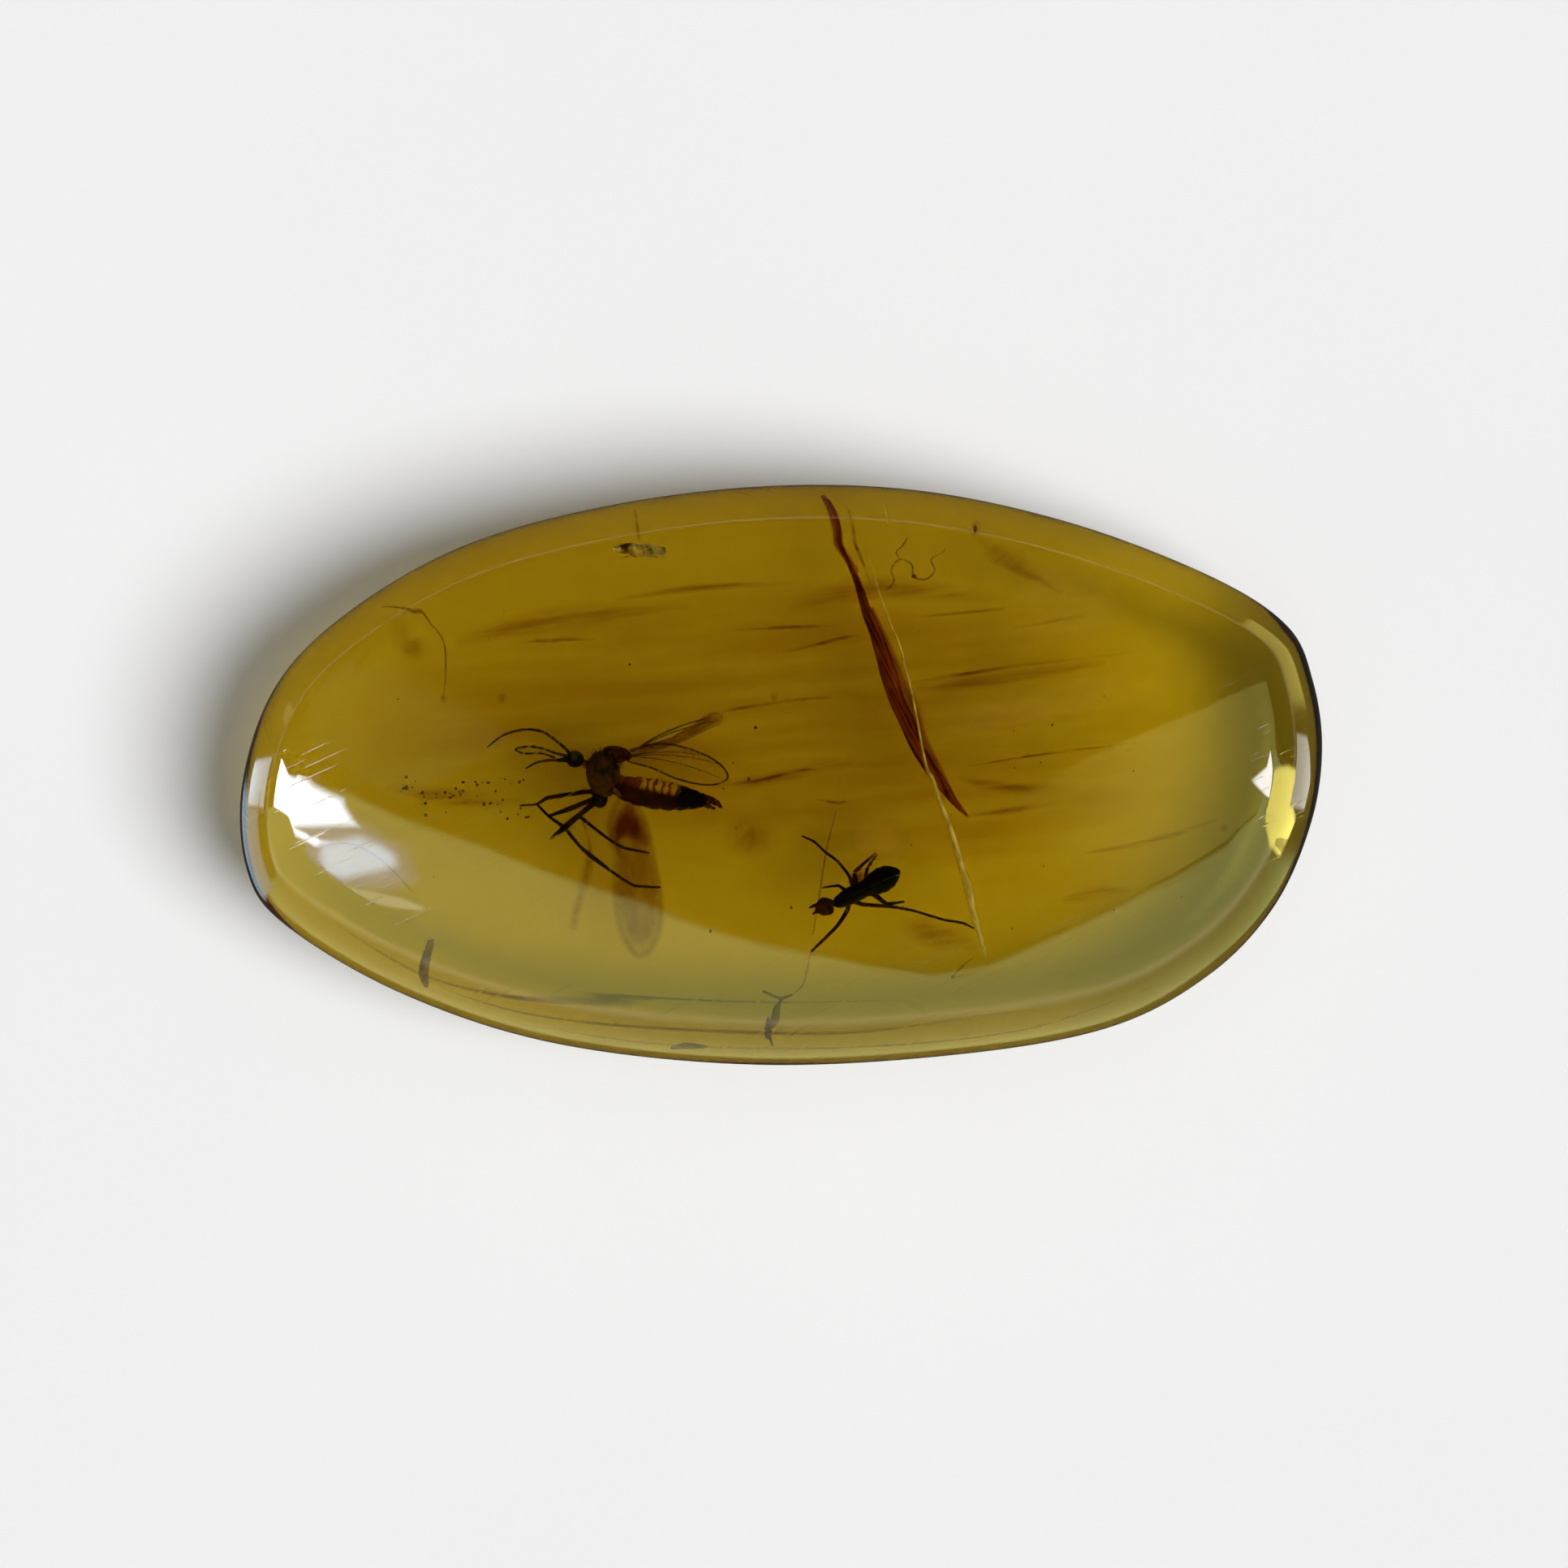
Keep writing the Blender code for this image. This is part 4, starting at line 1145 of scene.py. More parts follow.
@dataclass
class PlantSplinter:
    """The long split splinter of wood, with loose fibres and the stain round it."""

    core: Limb = (
        (1.1, 5.85, 0.2, 0.03), (1.34, 5.4, 0.2, 0.04), (1.56, 5, 0.16, 0.055), (1.79, 4.5, 0.12, 0.08),
        (2.06, 3.7, 0.08, 0.11), (2.32, 3, 0.04, 0.14), (2.5, 2.39, 0.02, 0.17), (2.7, 1.8, 0, 0.18),
        (2.98, 1.2, -0.02, 0.18), (3.2, 0.68, -0.04, 0.16), (3.46, 0.24, -0.06, 0.14),
        (3.8, -0.22, -0.08, 0.12), (4.12, -0.66, -0.1, 0.08), (4.4, -0.96, -0.12, 0.02))
    stains: tuple[Limb, ...] = (
        ((2.1, 3.8, 0.02, 0.14), (2.66, 2.4, 0, 0.26), (3.02, 1.45, -0.02, 0.34),
         (3.26, 0.8, -0.04, 0.26), (3.6, 0.2, -0.06, 0.2), (4, -0.45, -0.1, 0.1)),
        ((1, 5.95, 0.2, 0.08), (1.34, 5.35, 0.18, 0.13), (1.78, 4.7, 0.14, 0.1)))
    roughness: float = 0.01
    rough_pitch: float = 3.0
    rough_seed: int = 1
    fibre_count: int = 12
    fibre_radius: float = 0.018
    fibre_reach: Point2D = (0.9, 1.25)
    fibre_lie: Point = (1.0, 0.5, 0.6)
    fibre_twist: float = 0.3
    chance: random.Random = field(default_factory=lambda: random.Random(11))

    def build(self) -> None:
        """Build the splinter's core, its loose fibres and the red stain beside it."""
        with Sketch("splinter_core", SPLINTER, Slot.PLANT, ("plant_splinter",)) as core:
            core.limbs(self.core, sides=16, steps=6, flatness=0.6)
            core.roughen(self.roughness, self.rough_pitch, self.rough_seed)
        with Sketch("splinter_fibres", SPLINTER, Slot.PLANT) as fibres:
            for _ in range(self.fibre_count):
                fibres.limbs(self.fibre(), sides=6)
        with Sketch("splinter_stain", SPLINTER_HALO, Slot.PLANT) as halo:
            halo.limbs(*self.stains, sides=14, steps=6, flatness=0.3)

    def fibre(self) -> list[Knot]:
        """Lay one fibre that has split from the core over part of its length.

        Returns:
            Its knots.
        """
        last = len(self.core) - 1
        start = self.chance.randrange(0, last - 3)
        end = min(last, start + self.chance.randrange(3, 8))
        turn = self.chance.uniform(0, 2 * math.pi)
        knots = []
        for *middle, radius in self.core[start:end + 1]:
            reach = radius * self.chance.uniform(*self.fibre_reach)
            way = (math.cos(turn), math.sin(turn), math.sin(turn))
            knots.append((*[part + side * lie * reach for part, side, lie
                            in zip(middle, way, self.fibre_lie)], self.fibre_radius))
            turn += self.chance.uniform(-self.fibre_twist, self.fibre_twist)
        return knots


@dataclass
class Debris:
    """The leg fragment, the twig chip and the two bark crumbs."""

    fragment: tuple[Limb, ...] = (
        ((-0.42, -4.98, 0.1, 0.03), (-0.16, -5.1, 0.06, 0.03), (0.02, -5.16, 0.02, 0.04)),
        ((0.27, -5.07, 0, 0.02), (0.02, -5.16, 0.02, 0.045), (-0.06, -5.3, 0.02, 0.05),
         (-0.28, -5.39, 0, 0.03), (-0.24, -5.5, -0.04, 0.03), (-0.18, -5.62, -0.06, 0.02)))
    knot: Oval = ((-0.29, -5.42, 0), (0.085, 0.1, 0.08), 0)
    twig: Limb = ((-8.22, -3.8, 0.06, 0.075), (-8.21, -4.05, 0.02, 0.11), (-8.15, -4.32, -0.02, 0.07))
    crumb: Limb = ((-2.52, -5.72, 0, 0.05), (-2.2, -5.66, 0.02, 0.09), (-1.7, -5.66, 0, 0.03))
    fleck: Limb = (
        (-3.9, 4.88, 0.04, 0.01), (-3.5, 4.95, 0.06, 0.02), (-3.1, 5, 0.06, 0.018),
        (-2.7, 5.03, 0.04, 0.03))
    roughness: float = 0.20
    rough_pitch: float = 7.0
    rough_seed: int = 2

    def build(self) -> None:
        """Build and dress the four loose pieces."""
        with Sketch("leg_fragment_piece", FRAGMENT_CUTICLE, Slot.ANT, ("leg_fragment",)) as piece:
            piece.limbs(*self.fragment, sides=10, steps=5, softness=0.6)
            piece.ovals(self.knot, segments=16, rings=12)
        for node, finish, limb, flatness in (("twig_chip", BARK_BROWN, self.twig, 0.8),
                                             ("bark_crumb", BARK_BROWN, self.crumb, 0.8),
                                             ("bark_fleck", BARK_GREY, self.fleck, 2.4)):
            with Sketch(node + "_piece", finish, Slot.BARK, (node,)) as piece:
                piece.limbs(limb, sides=14, steps=8, flatness=flatness)
                piece.roughen(self.roughness * max(knot[3] for knot in limb), self.rough_pitch,
                              self.rough_seed)


# --- Marks in the resin -------------------------------------------------------------------------


@dataclass(frozen=True)
class Streak:
    """One mark drawn through the resin: its plan, its height and its half width."""

    plan: Outline
    height: float
    half_width: float

    def knots(self) -> list[Knot]:
        """Lay the streak as a limb that tapers at its ends.

        Returns:
            Its knots.
        """
        widths = [self.half_width] * len(self.plan)
        widths[0] = widths[-1] = self.half_width / 2
        return [(x, y, self.height, width) for (x, y), width in zip(self.plan, widths)]


@dataclass(frozen=True)
class Blot:
    """One soft round stain: its middle and its half sizes."""

    middle: Point2D
    half_sizes: Point2D
    thickness: float = 0.06
    corners: int = 10

    def blade(self) -> Blade:
        """Return the stain as a thin round blade."""
        turns = [2 * math.pi * index / self.corners for index in range(self.corners)]
        outline = tuple((self.middle[0] + self.half_sizes[0] * math.cos(turn),
                         self.middle[1] + self.half_sizes[1] * math.sin(turn)) for turn in turns)
        return Blade((0, 0, 0), outline, self.thickness)


@dataclass
class ResinFlows:
    """The resin's flow marks: thin lines, broad bands, sheets and stains, and painted rim reflections."""

    lines: tuple[Streak, ...] = (
        Streak(((-6.12, 3.07), (-5.33, 3.11), (-4.32, 3.14)), 0.4, 0.07),
        Streak(((-1.24, 3.33), (0.1, 3.4), (1.3, 3.44)), 0.4, 0.07),
        Streak(((-0.44, 2.75), (0.46, 2.91), (1.45, 3.16), (1.87, 3.2)), 0.3, 0.06),
        Streak(((-1.72, 1.4), (-1.19, 1.5), (-0.1, 1.68), (1.02, 1.78), (1.32, 1.8)), 0, 0.06),
        Streak(((2.8, 2.08), (3.93, 2.28), (4.53, 2.36), (5.65, 2.53), (8.3, 2.84)), 0.2, 0.075),
        Streak(((-1.5, -0.26), (-0.6, -0.14), (0.4, 0.08), (1.7, 0.28)), 0.1, 0.07),
        Streak(((0.82, -0.57), (1.32, -0.64), (1.68, -0.6)), 0, 0.05),
        Streak(((4.35, 0.19), (6.05, 0.47), (8.33, 0.75)), 0, 0.05),
        Streak(((1.49, 5.97), (1.71, 5.41), (1.91, 4.96), (2.18, 4.21)), 0.6, 0.06))
    # Painted reflection of the rim: dark lines laid along the lower rim, inside the resin.
    painted_rim_reflections: tuple[Streak, ...] = (
        Streak(((-10.6, -2.9), (-8, -4.2), (-4.6, -4.95), (-0.6, -5.22), (3.4, -5.16)), 0, 0.028),
        Streak(((-8.6, -4.1), (-6, -4.9), (-2.6, -5.32), (1.4, -5.42), (6, -4.95)), 0, 0.028),
        Streak(((-6.2, -5.15), (-2.6, -5.62), (1.6, -5.68), (5.6, -5.3), (8.6, -4.4)), 0, 0.028))
    bands: tuple[Streak, ...] = (
        Streak(((-1.38, -0.21), (-0.61, -0.13), (0.27, 0.04), (1.13, 0.23), (2.89, 0.26)), -0.4, 0.18),
        Streak(((4.17, -0.06), (4.82, -0.21), (5.71, -0.32), (6.37, -0.27)), 0, 0.18),
        Streak(((4.36, -0.96), (5.39, -0.81), (6.47, -0.66)), 0, 0.12),
        Streak(((-3.88, 4.06), (-1.94, 4.32), (0.23, 4.42)), 0.8, 0.12),
        Streak(((4.6, 5.1), (5.6, 4.72), (6.6, 4.2)), 0.4, 0.15),
        Streak(((3.26, 3.66), (5.27, 3.84)), 0.4, 0.12), Streak(((5.46, 3.39), (7.12, 3.68)), 0.4, 0.12),
        Streak(((3.2, 1.95), (5, 2.2), (7.6, 2.6)), 0.1, 0.21),
        Streak(((7.12, -1.82), (8.77, -1.51), (10.24, -1.04)), 0, 0.11),
        Streak(((-3.35, 5.56), (-3.27, 5.02)), 0, 0.11),
        Streak(((2.83, -3.45), (3.6, -3.64), (4.55, -3.92)), -0.4, 0.45),
        Streak(((6.63, -2.9), (7.39, -2.72), (8.15, -2.68)), -0.2, 0.21),
        Streak(((-9.2, -0.3), (-7.8, -0.52), (-6, -0.62)), 0, 0.26),
        Streak(((-7.6, 3.1), (-5.2, 3.6), (-2.2, 3.9)), 0.5, 0.34),
        Streak(((0.2, 3.9), (2.2, 4.3), (5, 4.1)), 0.5, 0.36))
    stains: tuple[Blot, ...] = (
        Blot((-8.62, 2.95), (0.46, 0.36)), Blot((-6.54, 1.76), (0.15, 0.17)),
        Blot((-7.91, 1.77), (0.1, 0.14)), Blot((-0.75, -1.45), (0.74, 0.62)),
        Blot((4.5, 5.17), (0.16, 0.12)), Blot((10.4, -1.24), (0.16, 0.13)),
        Blot((-0.15, 1.8), (0.12, 0.14)))
    sheet: Blade = Blade(
        (0, 0, 1.2), ((10.6, 0.6), (10, 2.6), (7.6, 4.2), (3.2, 5.1), (-0.6, 5.2), (-4.5, 4.8),
        (-7.8, 3.9), (-10, 2.4), (-10.9, 0.2), (-9, -0.6), (-4.5, -1.6), (0, -2.4), (4.5, -3.4),
        (8.4, -3), (10.2, -1.2)), 0.1)
    veils: tuple[Blade, ...] = (
        Blade((0, 0, 0.7), ((3.6, 0.7), (5.4, 0.85), (7.6, 1.4), (8.6, 2.3), (7.4, 2.45), (5.2, 1.95),
         (3.6, 1.6)), 0.08),
        Blade((0, 0, 0.7), ((5.3, 2.9), (7.4, 3.05), (8.1, 4.05), (6.6, 4.75), (5.6, 4.6), (4.9, 3.6)),
         0.08))
    pale_disc: Blade = Blade(
        (0, 0, 0.5), ((3.1, -1.5), (2.75, -0.85), (2, -0.8), (1.6, -1.4), (2, -2), (2.8, -2.05)), 0.08)

    def build(self) -> None:
        """Build and dress every mark."""
        for name, finish, streaks, flatness in (
                ("flow_lines", FLOW_LINE, self.lines, 0.6),
                # painted reflection of the rim, drawn as dark lines in the resin
                ("painted_rim_reflection_lines", RIM_REFLECTION_LINE, self.painted_rim_reflections, 0.6),
                ("flow_bands", FLOW_BAND, self.bands, 0.25)):
            with Sketch(name, finish, Slot.AMBER) as marks:
                marks.limbs(*[streak.knots() for streak in streaks], steps=8, flatness=flatness)
        with Sketch("brown_stains", STAIN, Slot.AMBER) as stains:
            for blot in self.stains:
                stains.lens(blot.blade())
        with Sketch("flow_sheet", FLOW_SHEET, Slot.AMBER, ("flow_layer",)) as sheet:
            sheet.lens(self.sheet, 96, 20)
        with Sketch("pale_veils", PALE_VEIL, Slot.AMBER) as veils:
            for veil in self.veils:
                veils.lens(veil)
            veils.lens(self.pale_disc, 40)


@dataclass
class HealedCrack:
    """The thin pale wall of a crack that has healed, standing across the stone."""

    walls: tuple[Limb, ...] = (
        ((2.04, 5.18, 1.3, 0.012), (2.28, 4.33, 1.3, 0.022), (2.51, 3.63, 1.3, 0.032),
         (2.79, 2.96, 1.3, 0.028), (3.09, 1.78, 1.3, 0.024), (3.38, 0.28, 1.3, 0.034),
         (3.55, -0.1, 1.3, 0.056), (3.72, -0.63, 1.3, 0.062), (3.98, -1.28, 1.3, 0.07),
         (4.23, -2.14, 1.3, 0.092), (4.38, -2.63, 1.3, 0.098), (4.55, -3.36, 1.3, 0.08),
         (4.75, -4.04, 1.3, 0.06), (4.86, -4.42, 1.3, 0.026)),
        ((2.41, 6, 0.9, 0.012), (2.5, 5.58, 1.1, 0.012)))
    steps: tuple[int, int] = (6, 4)
    depth_ratio: float = 6.0

    def build(self) -> None:
        """Build the walls as tall thin ribbons."""
        with Sketch("healed_crack_wall", CRACK, Slot.AMBER) as crack:
            for wall, steps in zip(self.walls, self.steps):
                crack.limbs(wall, steps=steps, flatness=self.depth_ratio)


@dataclass
class Threads:
    """Silk-like threads and squiggles hanging in the resin."""

    threads: tuple[Streak, ...] = (
        Streak(((1.32, -0.79), (1.09, -1.69), (0.94, -2.6), (0.77, -3.68)), 0, 0.022),
        Streak(((0.71, -4.07), (0.63, -4.47), (0.52, -4.84), (0.27, -5.07)), -0.1, 0.022),
        Streak(((-9.09, 3.36), (-8.47, 3.41), (-8.19, 3.45), (-7.9, 3.04), (-7.86, 2.36), (-7.91, 1.78)),
         0, 0.022),
        Streak(((2.46, 4.22), (2.66, 4.48), (2.6, 4.74), (2.8, 4.98), (3.08, 4.86), (3.12, 4.58),
         (3.4, 4.52), (3.62, 4.72), (3.54, 4.98), (3.86, 5.14)), 0.6, 0.026),
        Streak(((2.8, 4.98), (2.72, 5.16), (2.96, 5.3)), 0.6, 0.02),
        Streak(((4.05, -4.66), (4.26, -4.42), (4.54, -4.21)), 0.2, 0.022),
        Streak(((-10.83, -1.73), (-10.48, -1.61), (-9.91, -1.65), (-9.33, -1.99), (-8.86, -2.45),
         (-8.61, -2.74)), 1.2, 0.016))

    def build(self) -> None:
        """Build and dress the threads."""
        with Sketch("resin_threads", THREAD, Slot.PLANT) as sketch:
            sketch.limbs(*[thread.knots() for thread in self.threads], steps=8)


@dataclass
class Dust:
    """Grains of dust: a cluster by the gnat's head, and a thin scatter through the stone."""

    cluster: Outline = (
        (-8.61, -0.19), (-8.37, -0.4), (-7.85, -0.44), (-7.57, -0.42), (-8.14, -0.76), (-7.13, -0.15),
        (-6.86, -0.55), (-6.64, -0.68), (-6.32, -0.15), (-6.22, -0.98))
    cluster_spread: Point2D = (0.14, 0.09)
    cluster_heights: Point2D = (-0.2, 0.3)
    cluster_sizes: Point2D = (0.018, 0.05)
    grains_each: int = 5
    single_grains: tuple[Point, ...] = (
        (-1.66, -3.6, 0.1), (0.25, -3.05, 0), (3.13, 4.59, 0.6), (4.49, 5.15, 0), (4.05, -4.66, 0.2),
        (-0.6, 1.1, 0.3), (-3.55, 2.55, 0.3), (-0.76, -0.1, 0.2))
    single_size: float = 0.045
    scatter_count: int = 36
    scatter_reach: Point = (9.5, 3.8, 1.2)
    scatter_sizes: Point2D = (0.012, 0.026)
    seed: int = 5

    def build(self) -> None:
        """Build and dress every grain."""
        chance = random.Random(self.seed)
        with Sketch("dust_grains", DUST, Slot.BARK) as dust:
            for middle in self.cluster:
                for _ in range(self.grains_each):
                    plan = [part + chance.gauss(0, spread)
                            for part, spread in zip(middle, self.cluster_spread)]
                    place = (*plan, chance.uniform(*self.cluster_heights))
                    dust.grain(place, chance.uniform(*self.cluster_sizes), chance)
            for place in self.single_grains:
                dust.grain(place, self.single_size, chance)
            for _ in range(self.scatter_count):
                place = [chance.uniform(-reach, reach) for reach in self.scatter_reach]
                dust.grain(place, chance.uniform(*self.scatter_sizes), chance)


# --- The studio ---------------------------------------------------------------------------------


class Wall(Enum):
    """The walls of the studio that a card may hang on."""

    CEILING = "ceiling"
    FRONT = "front"
    LEFT = "left"
    RIGHT = "right"

    def place(self, across: float, up: float) -> Vector:
        """Return a place on the wall, one unit from the stone, from its place across and up."""
        return Vector({Wall.CEILING: (across, up, 1), Wall.FRONT: (across, -1, up),
                       Wall.LEFT: (-1, across, up), Wall.RIGHT: (1, across, up)}[self])


def stage_sheet(name: str, shape: bmesh.types.BMesh, finish: Finish,
                unseen_by: tuple[str, ...]) -> None:
    """Hang a finished sheet in the studio.

    Args:
        name: Its name.
        shape: Its shape, in metres.
        finish: Its finish.
        unseen_by: Kinds of ray that pass it by.
    """
    material = finish.material()
    material.cycles.emission_sampling = "NONE"
    sheet = add_object(name, shape, material)
    for ray in unseen_by:
        setattr(sheet, "visible_" + ray, False)


@dataclass(frozen=True)
class Card:
    """A studio card that shows in the polish of the stone alone.

    The corners are slopes seen from the stone, on the wall that the card hangs on.
    """

    name: str
    wall: Wall
    corners: Outline
    colour: str
    strength: float
    layer: int = 1
    softness: float = 0.0
    fade_from: Point2D = (0, 0)
    fade_to: Point2D = (0, 0)

    def build(self, reach: float) -> None:
        """Hang the card.

        Args:
            reach: Distance of the studio's walls from the stone, in metres.
        """
        level = reach - self.layer * MM
        shape = bmesh.new()
        corners = [shape.verts.new(self.wall.place(*corner) * level) for corner in self.corners]
        face = bmesh.ops.contextual_create(shape, geom=corners)["faces"][0]
        if self.softness:
            bmesh.ops.inset_individual(shape, faces=[face], thickness=self.softness * level,
                                       use_even_offset=True)
        inner = shape.verts.layers.float.new("inner")
        for corner in face.verts:
            corner[inner] = 1.0
        fades = [tuple(part * level for part in place) for place in (self.fade_from, self.fade_to)]
        glow = StudioGlow(self.name, self.colour, self.strength, self.softness > 0, *fades)
        stage_sheet(self.name, shape, glow, ("camera", "diffuse", "shadow", "transmission"))


@dataclass
class Studio:
    """The pale floor, the soft lights and the camera straight over the stone."""

    floor_size: float = 6.0
    floor_drop: float = 0.02
    reach: float = 0.5
    cards: tuple[Card, ...] = (
        Card("dark_ceiling", Wall.CEILING, ((-60, -60), (60, -60), (60, 60), (-60, 60)), "#101010", 1,
         layer=0),
        Card("pale_wall", Wall.CEILING, ((-1.6, 0.1), (-0.462, -0.012), (-0.26, -0.102), (-0.088, -0.206),
         (0.014, -0.305), (0.058, -0.337), (0.108, -0.355), (0.161, -0.335), (0.22, -0.287),
         (0.369, -0.18), (0.514, -0.081), (1.1, 0.05), (3, -0.2), (60, -10), (60, -60), (-60, -60),
         (-60, 0.1)), "#e0ffac", 2, softness=0.016),
        Card("far_wall", Wall.CEILING, ((-60, -1), (60, -1), (60, -60), (-60, -60)), "#f2f4b8", 2.8,
         layer=2, fade_from=(0, -1.1), fade_to=(0, -2.6)),
        Card("window_haze", Wall.CEILING, ((-0.6, -0.04), (-0.44, -0.05), (-0.36, -0.1), (-0.34, -0.18),
         (-0.4, -0.21), (-0.5, -0.21), (-0.58, -0.15)), "#c8e0ff", 4, layer=3, softness=0.045),
        Card("right_wall", Wall.CEILING, ((0.2, -0.29), (0.177, -0.029), (0.233, 0.002), (0.297, 0.034),
         (0.364, 0.066), (0.444, 0.103), (0.531, 0.151), (1.21, 0.347), (1.1, 0.05), (0.514, -0.081),
         (0.369, -0.18), (0.22, -0.287)), "#e6f490", 1.3, layer=3, fade_from=(0.18, -0.1),
         fade_to=(0.42, -0.02)),
        Card("left_wall", Wall.CEILING, ((-0.371, -0.036), (-0.463, -0.002), (-1, 0.3), (-3, 1.6),
         (-2.2, 2), (-0.6, 0.36), (-0.375, 0.169), (-0.304, 0.136), (-0.239, 0.078), (-0.22, 0.039)),
         "#f4ffb0", 0.25, layer=3, softness=0.016),
        Card("window_upper", Wall.CEILING, ((-4.65, 0.9), (-1.44, 0.166), (-0.517, -0.005),
         (-0.481, -0.007), (-0.466, -0.024), (-0.462, -0.039), (-0.436, -0.08), (-0.445, -0.108),
         (-0.518, -0.118), (-0.548, -0.086), (-0.915, -0.075), (-4.24, 0.028)), "#dcecff", 26, layer=4,
         softness=0.02),
        Card("window_lower", Wall.CEILING, ((-0.45, -0.08), (-0.41, -0.093), (-0.38, -0.119),
         (-0.378, -0.149), (-0.4, -0.163), (-0.449, -0.177), (-0.481, -0.186), (-0.513, -0.173),
         (-0.523, -0.154), (-0.53, -0.133), (-0.524, -0.1)), "#c8e4ff", 13, layer=5, softness=0.026),
        Card("window_sill", Wall.CEILING, ((-0.491, -0.184), (-0.433, -0.19), (-0.38, -0.204),
         (-0.345, -0.222), (-0.35, -0.238), (-0.402, -0.232), (-0.465, -0.216)), "#f0f8d0", 5, layer=4,
         softness=0.01),
        Card("right_lamp", Wall.CEILING, ((0.745, 0.037), (0.529, -0.004), (0.6, -0.034), (1.078, -0.14),
         (1.001, -0.028)), "#ffffff", 18, layer=4, softness=0.008),
        Card("yellow_lamp", Wall.RIGHT, ((-0.02, 0.9), (-0.2, 0.9), (-0.34, 0.16), (-0.38, -0.36),
         (-0.24, -0.46), (-0.2, -0.24), (-0.06, -0.2), (-0.03, 0.2)), "#fff07a", 12, softness=0.03),
        Card("left_strip", Wall.LEFT, ((0, -0.1), (0.22, -0.1), (0.2, -0.86), (0.02, -0.86)), "#d0e8ff",
         4.5, softness=0.03),
        Card("left_shade", Wall.LEFT, ((0.1, -0.26), (-0.62, -0.26), (-0.7, -1.7), (0.16, -1.7)),
         "#b0c8dc", 1.7, softness=0.1),
        Card("left_tan_strip", Wall.LEFT, ((0.3, 0), (0.45, 0), (0.5, -0.35), (0.38, -0.35)), "#e8d8a0",
         1.2, softness=0.04),
        Card("right_low_shade", Wall.RIGHT, ((-0.3, 0.02), (-1.6, 0.02), (-1.6, -1.3), (-0.3, -1.3)),
         "#cce090", 1.3, softness=0.1),
        Card("right_high_shade", Wall.RIGHT, ((0.14, 0.02), (1.2, 0.02), (1.2, -0.6), (0.14, -0.6)),
         "#f0e078", 2.6, softness=0.1),
        Card("right_strip", Wall.RIGHT, ((-0.22, -0.05), (0.09, -0.05), (0.07, -0.45), (-0.1, -0.75),
         (-0.22, -0.72)), "#fffdf4", 3.4, layer=2, softness=0.03),
        Card("front_paper", Wall.FRONT, ((-3, 0.42), (3, 0.42), (2, -1.5), (-2, -1.5)), "#e6f0a8", 1.2,
         softness=0.4))
    ground_shade: str = "#3c3c38"
    ground_depth: float = 2.0
    ground_size: float = 60.0
    sky_colour: str = "#ffffff"
    sky_strength: float = 0.10
    horizon_strength: float = 0.80
    horizon_height: float = 0.16
    overhead_from: Point = (0.22, -0.05, 1.0)
    overhead_strength: float = 0.42
    overhead_inner: float = 5.0
    overhead_outer: float = 55.0
    key_from: Point = (0.66, -0.28, 1.0)
    key_strength: float = 3.35
    key_spread: float = 33.0
    camera_place: Point = (0.078, -0.214, 91.8)
    lens: float = 85.0
    sensor: float = 36.0
    light_bounces: int = 16
    clear_layers: int = 48
    refractions: int = 14

    def build(self) -> None:
        """Build the whole studio."""
        self.lay_floor()
        for card in self.cards:
            card.build(self.reach)
        self.light_sky()
        self.hang_key()
        self.set_camera()
        REPORT.info("studio: %d cards", len(self.cards))

    def lay_floor(self) -> None:
        """Lay the paper, and under it the dark ground that the stone's edge mirrors."""
        for name, finish, size, height, unseen_by in (
                ("studio_floor", MattPaper("matt_paper"), self.floor_size,
                 -self.floor_drop * MM, ("glossy",)),
                ("studio_ground", StudioGlow("dark_ground", self.ground_shade), self.ground_size,
                 -self.ground_depth * self.reach, ("camera", "diffuse", "transmission", "shadow"))):
            shape = bmesh.new()
            bmesh.ops.create_grid(shape, x_segments=1, y_segments=1, size=size / 2,
                                  matrix=Matrix.Translation((0, 0, height)))
            stage_sheet(name, shape, finish, unseen_by)

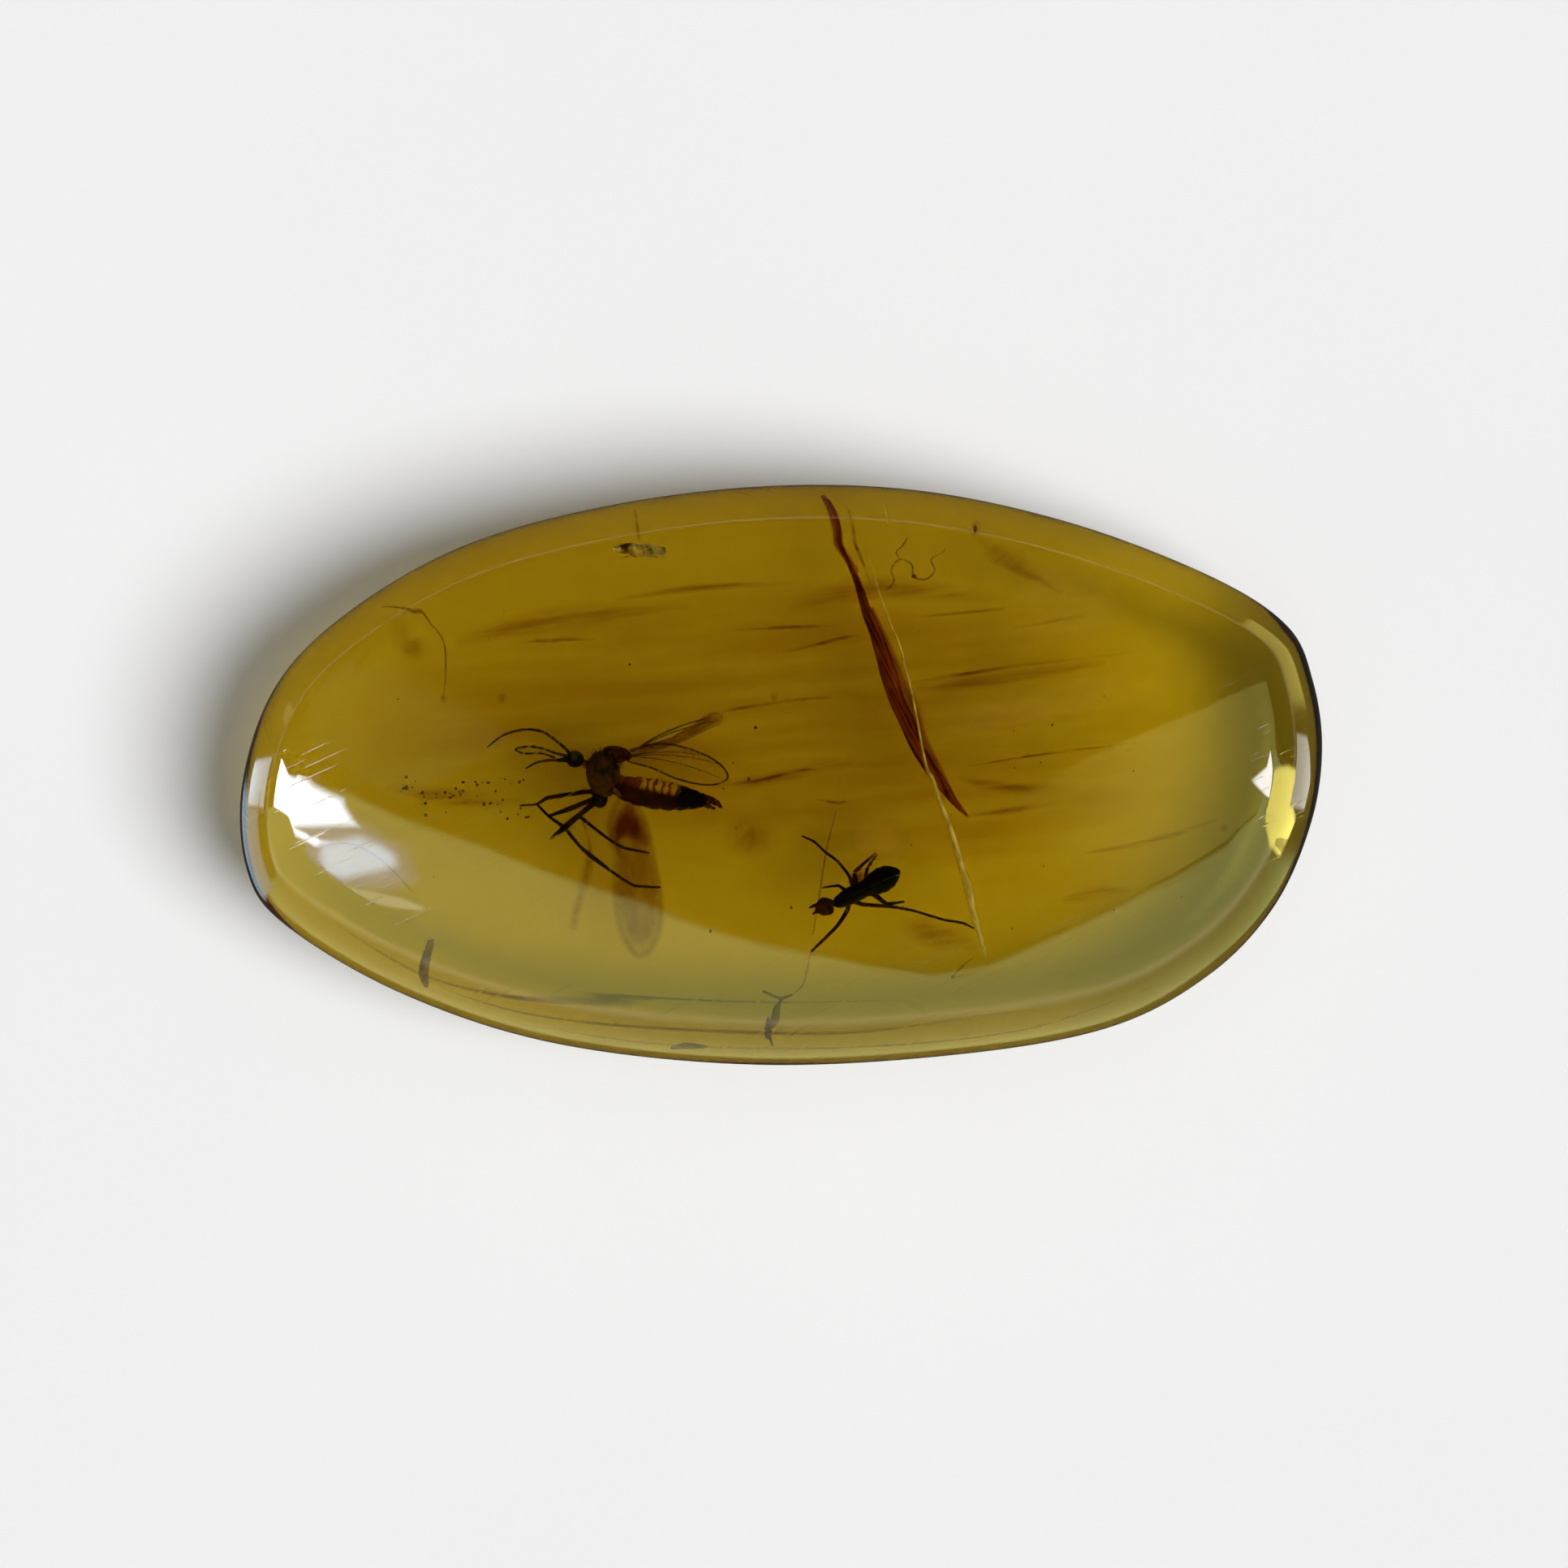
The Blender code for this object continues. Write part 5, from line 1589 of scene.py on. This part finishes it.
    def light_sky(self) -> None:
        """Light the studio with a dim sky, a pale horizon and a wide soft glow overhead."""
        world = bpy.data.worlds.new("studio_sky")
        world.use_nodes = True
        tree = world.node_tree
        tree.nodes.clear()
        way = add_node(tree, "TexCoord", output="Generated")
        height = add_node(tree, "SeparateXYZ", [way], 2)
        level = add_node(tree, "Math", [height], operation="ABSOLUTE")
        haze = add_node(tree, "MapRange", [
            level, 0.0, self.horizon_height, self.horizon_strength, self.sky_strength],
            interpolation_type="SMOOTHSTEP")
        nearness = add_node(tree, "VectorMath", [way, Vector(self.overhead_from).normalized()],
                            "Value", operation="DOT_PRODUCT")
        rims = [math.cos(math.radians(rim)) for rim in (self.overhead_outer, self.overhead_inner)]
        overhead = add_node(tree, "MapRange", [nearness, *rims, 0.0, self.overhead_strength],
                            interpolation_type="SMOOTHSTEP")
        glow = add_node(tree, "Math", [haze, overhead], operation="ADD")
        light = add_node(tree, "Background", [linear_colour(self.sky_colour), glow])
        add_node(tree, "OutputWorld", [light])
        bpy.context.scene.world = world

    def hang_key(self) -> None:
        """Hang the wide soft key light, which throws the shadow and makes no caustics."""
        lamp = bpy.data.lights.new("key_light", "SUN")
        lamp.energy = self.key_strength
        lamp.angle = math.radians(self.key_spread)
        lamp.cycles.use_multiple_importance_sampling = False
        key = bpy.data.objects.new("key_light", lamp)
        bpy.context.scene.collection.objects.link(key)
        key.rotation_euler = Vector(self.key_from).to_track_quat("Z", "Y").to_euler()

    def set_camera(self) -> None:
        """Set the camera straight over the stone, and let light through all its layers."""
        optics = bpy.data.cameras.new("camera")
        optics.lens = self.lens
        optics.sensor_width = self.sensor
        optics.clip_start = MM
        camera = bpy.data.objects.new("camera", optics)
        camera.location = Vector(self.camera_place) * MM
        scene = bpy.context.scene
        scene.collection.objects.link(camera)
        scene.camera = camera
        scene.view_settings.view_transform = "Standard"
        scene.cycles.transparent_max_bounces = self.clear_layers
        scene.cycles.max_bounces = self.light_bounces
        scene.cycles.transmission_bounces = self.refractions


def main() -> None:
    """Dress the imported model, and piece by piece."""
    logging.basicConfig(level=logging.INFO, format="%(message)s")
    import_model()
    for part in (ClearStone(), Gnat(), Ant(), PlantSplinter(), Debris(), ResinFlows(),
                 HealedCrack(), Threads(), Dust()):
        part.build()
        REPORT.info("%s is in place", type(part).__name__)
    Studio().build()


if __name__ == "__main__":
    main()
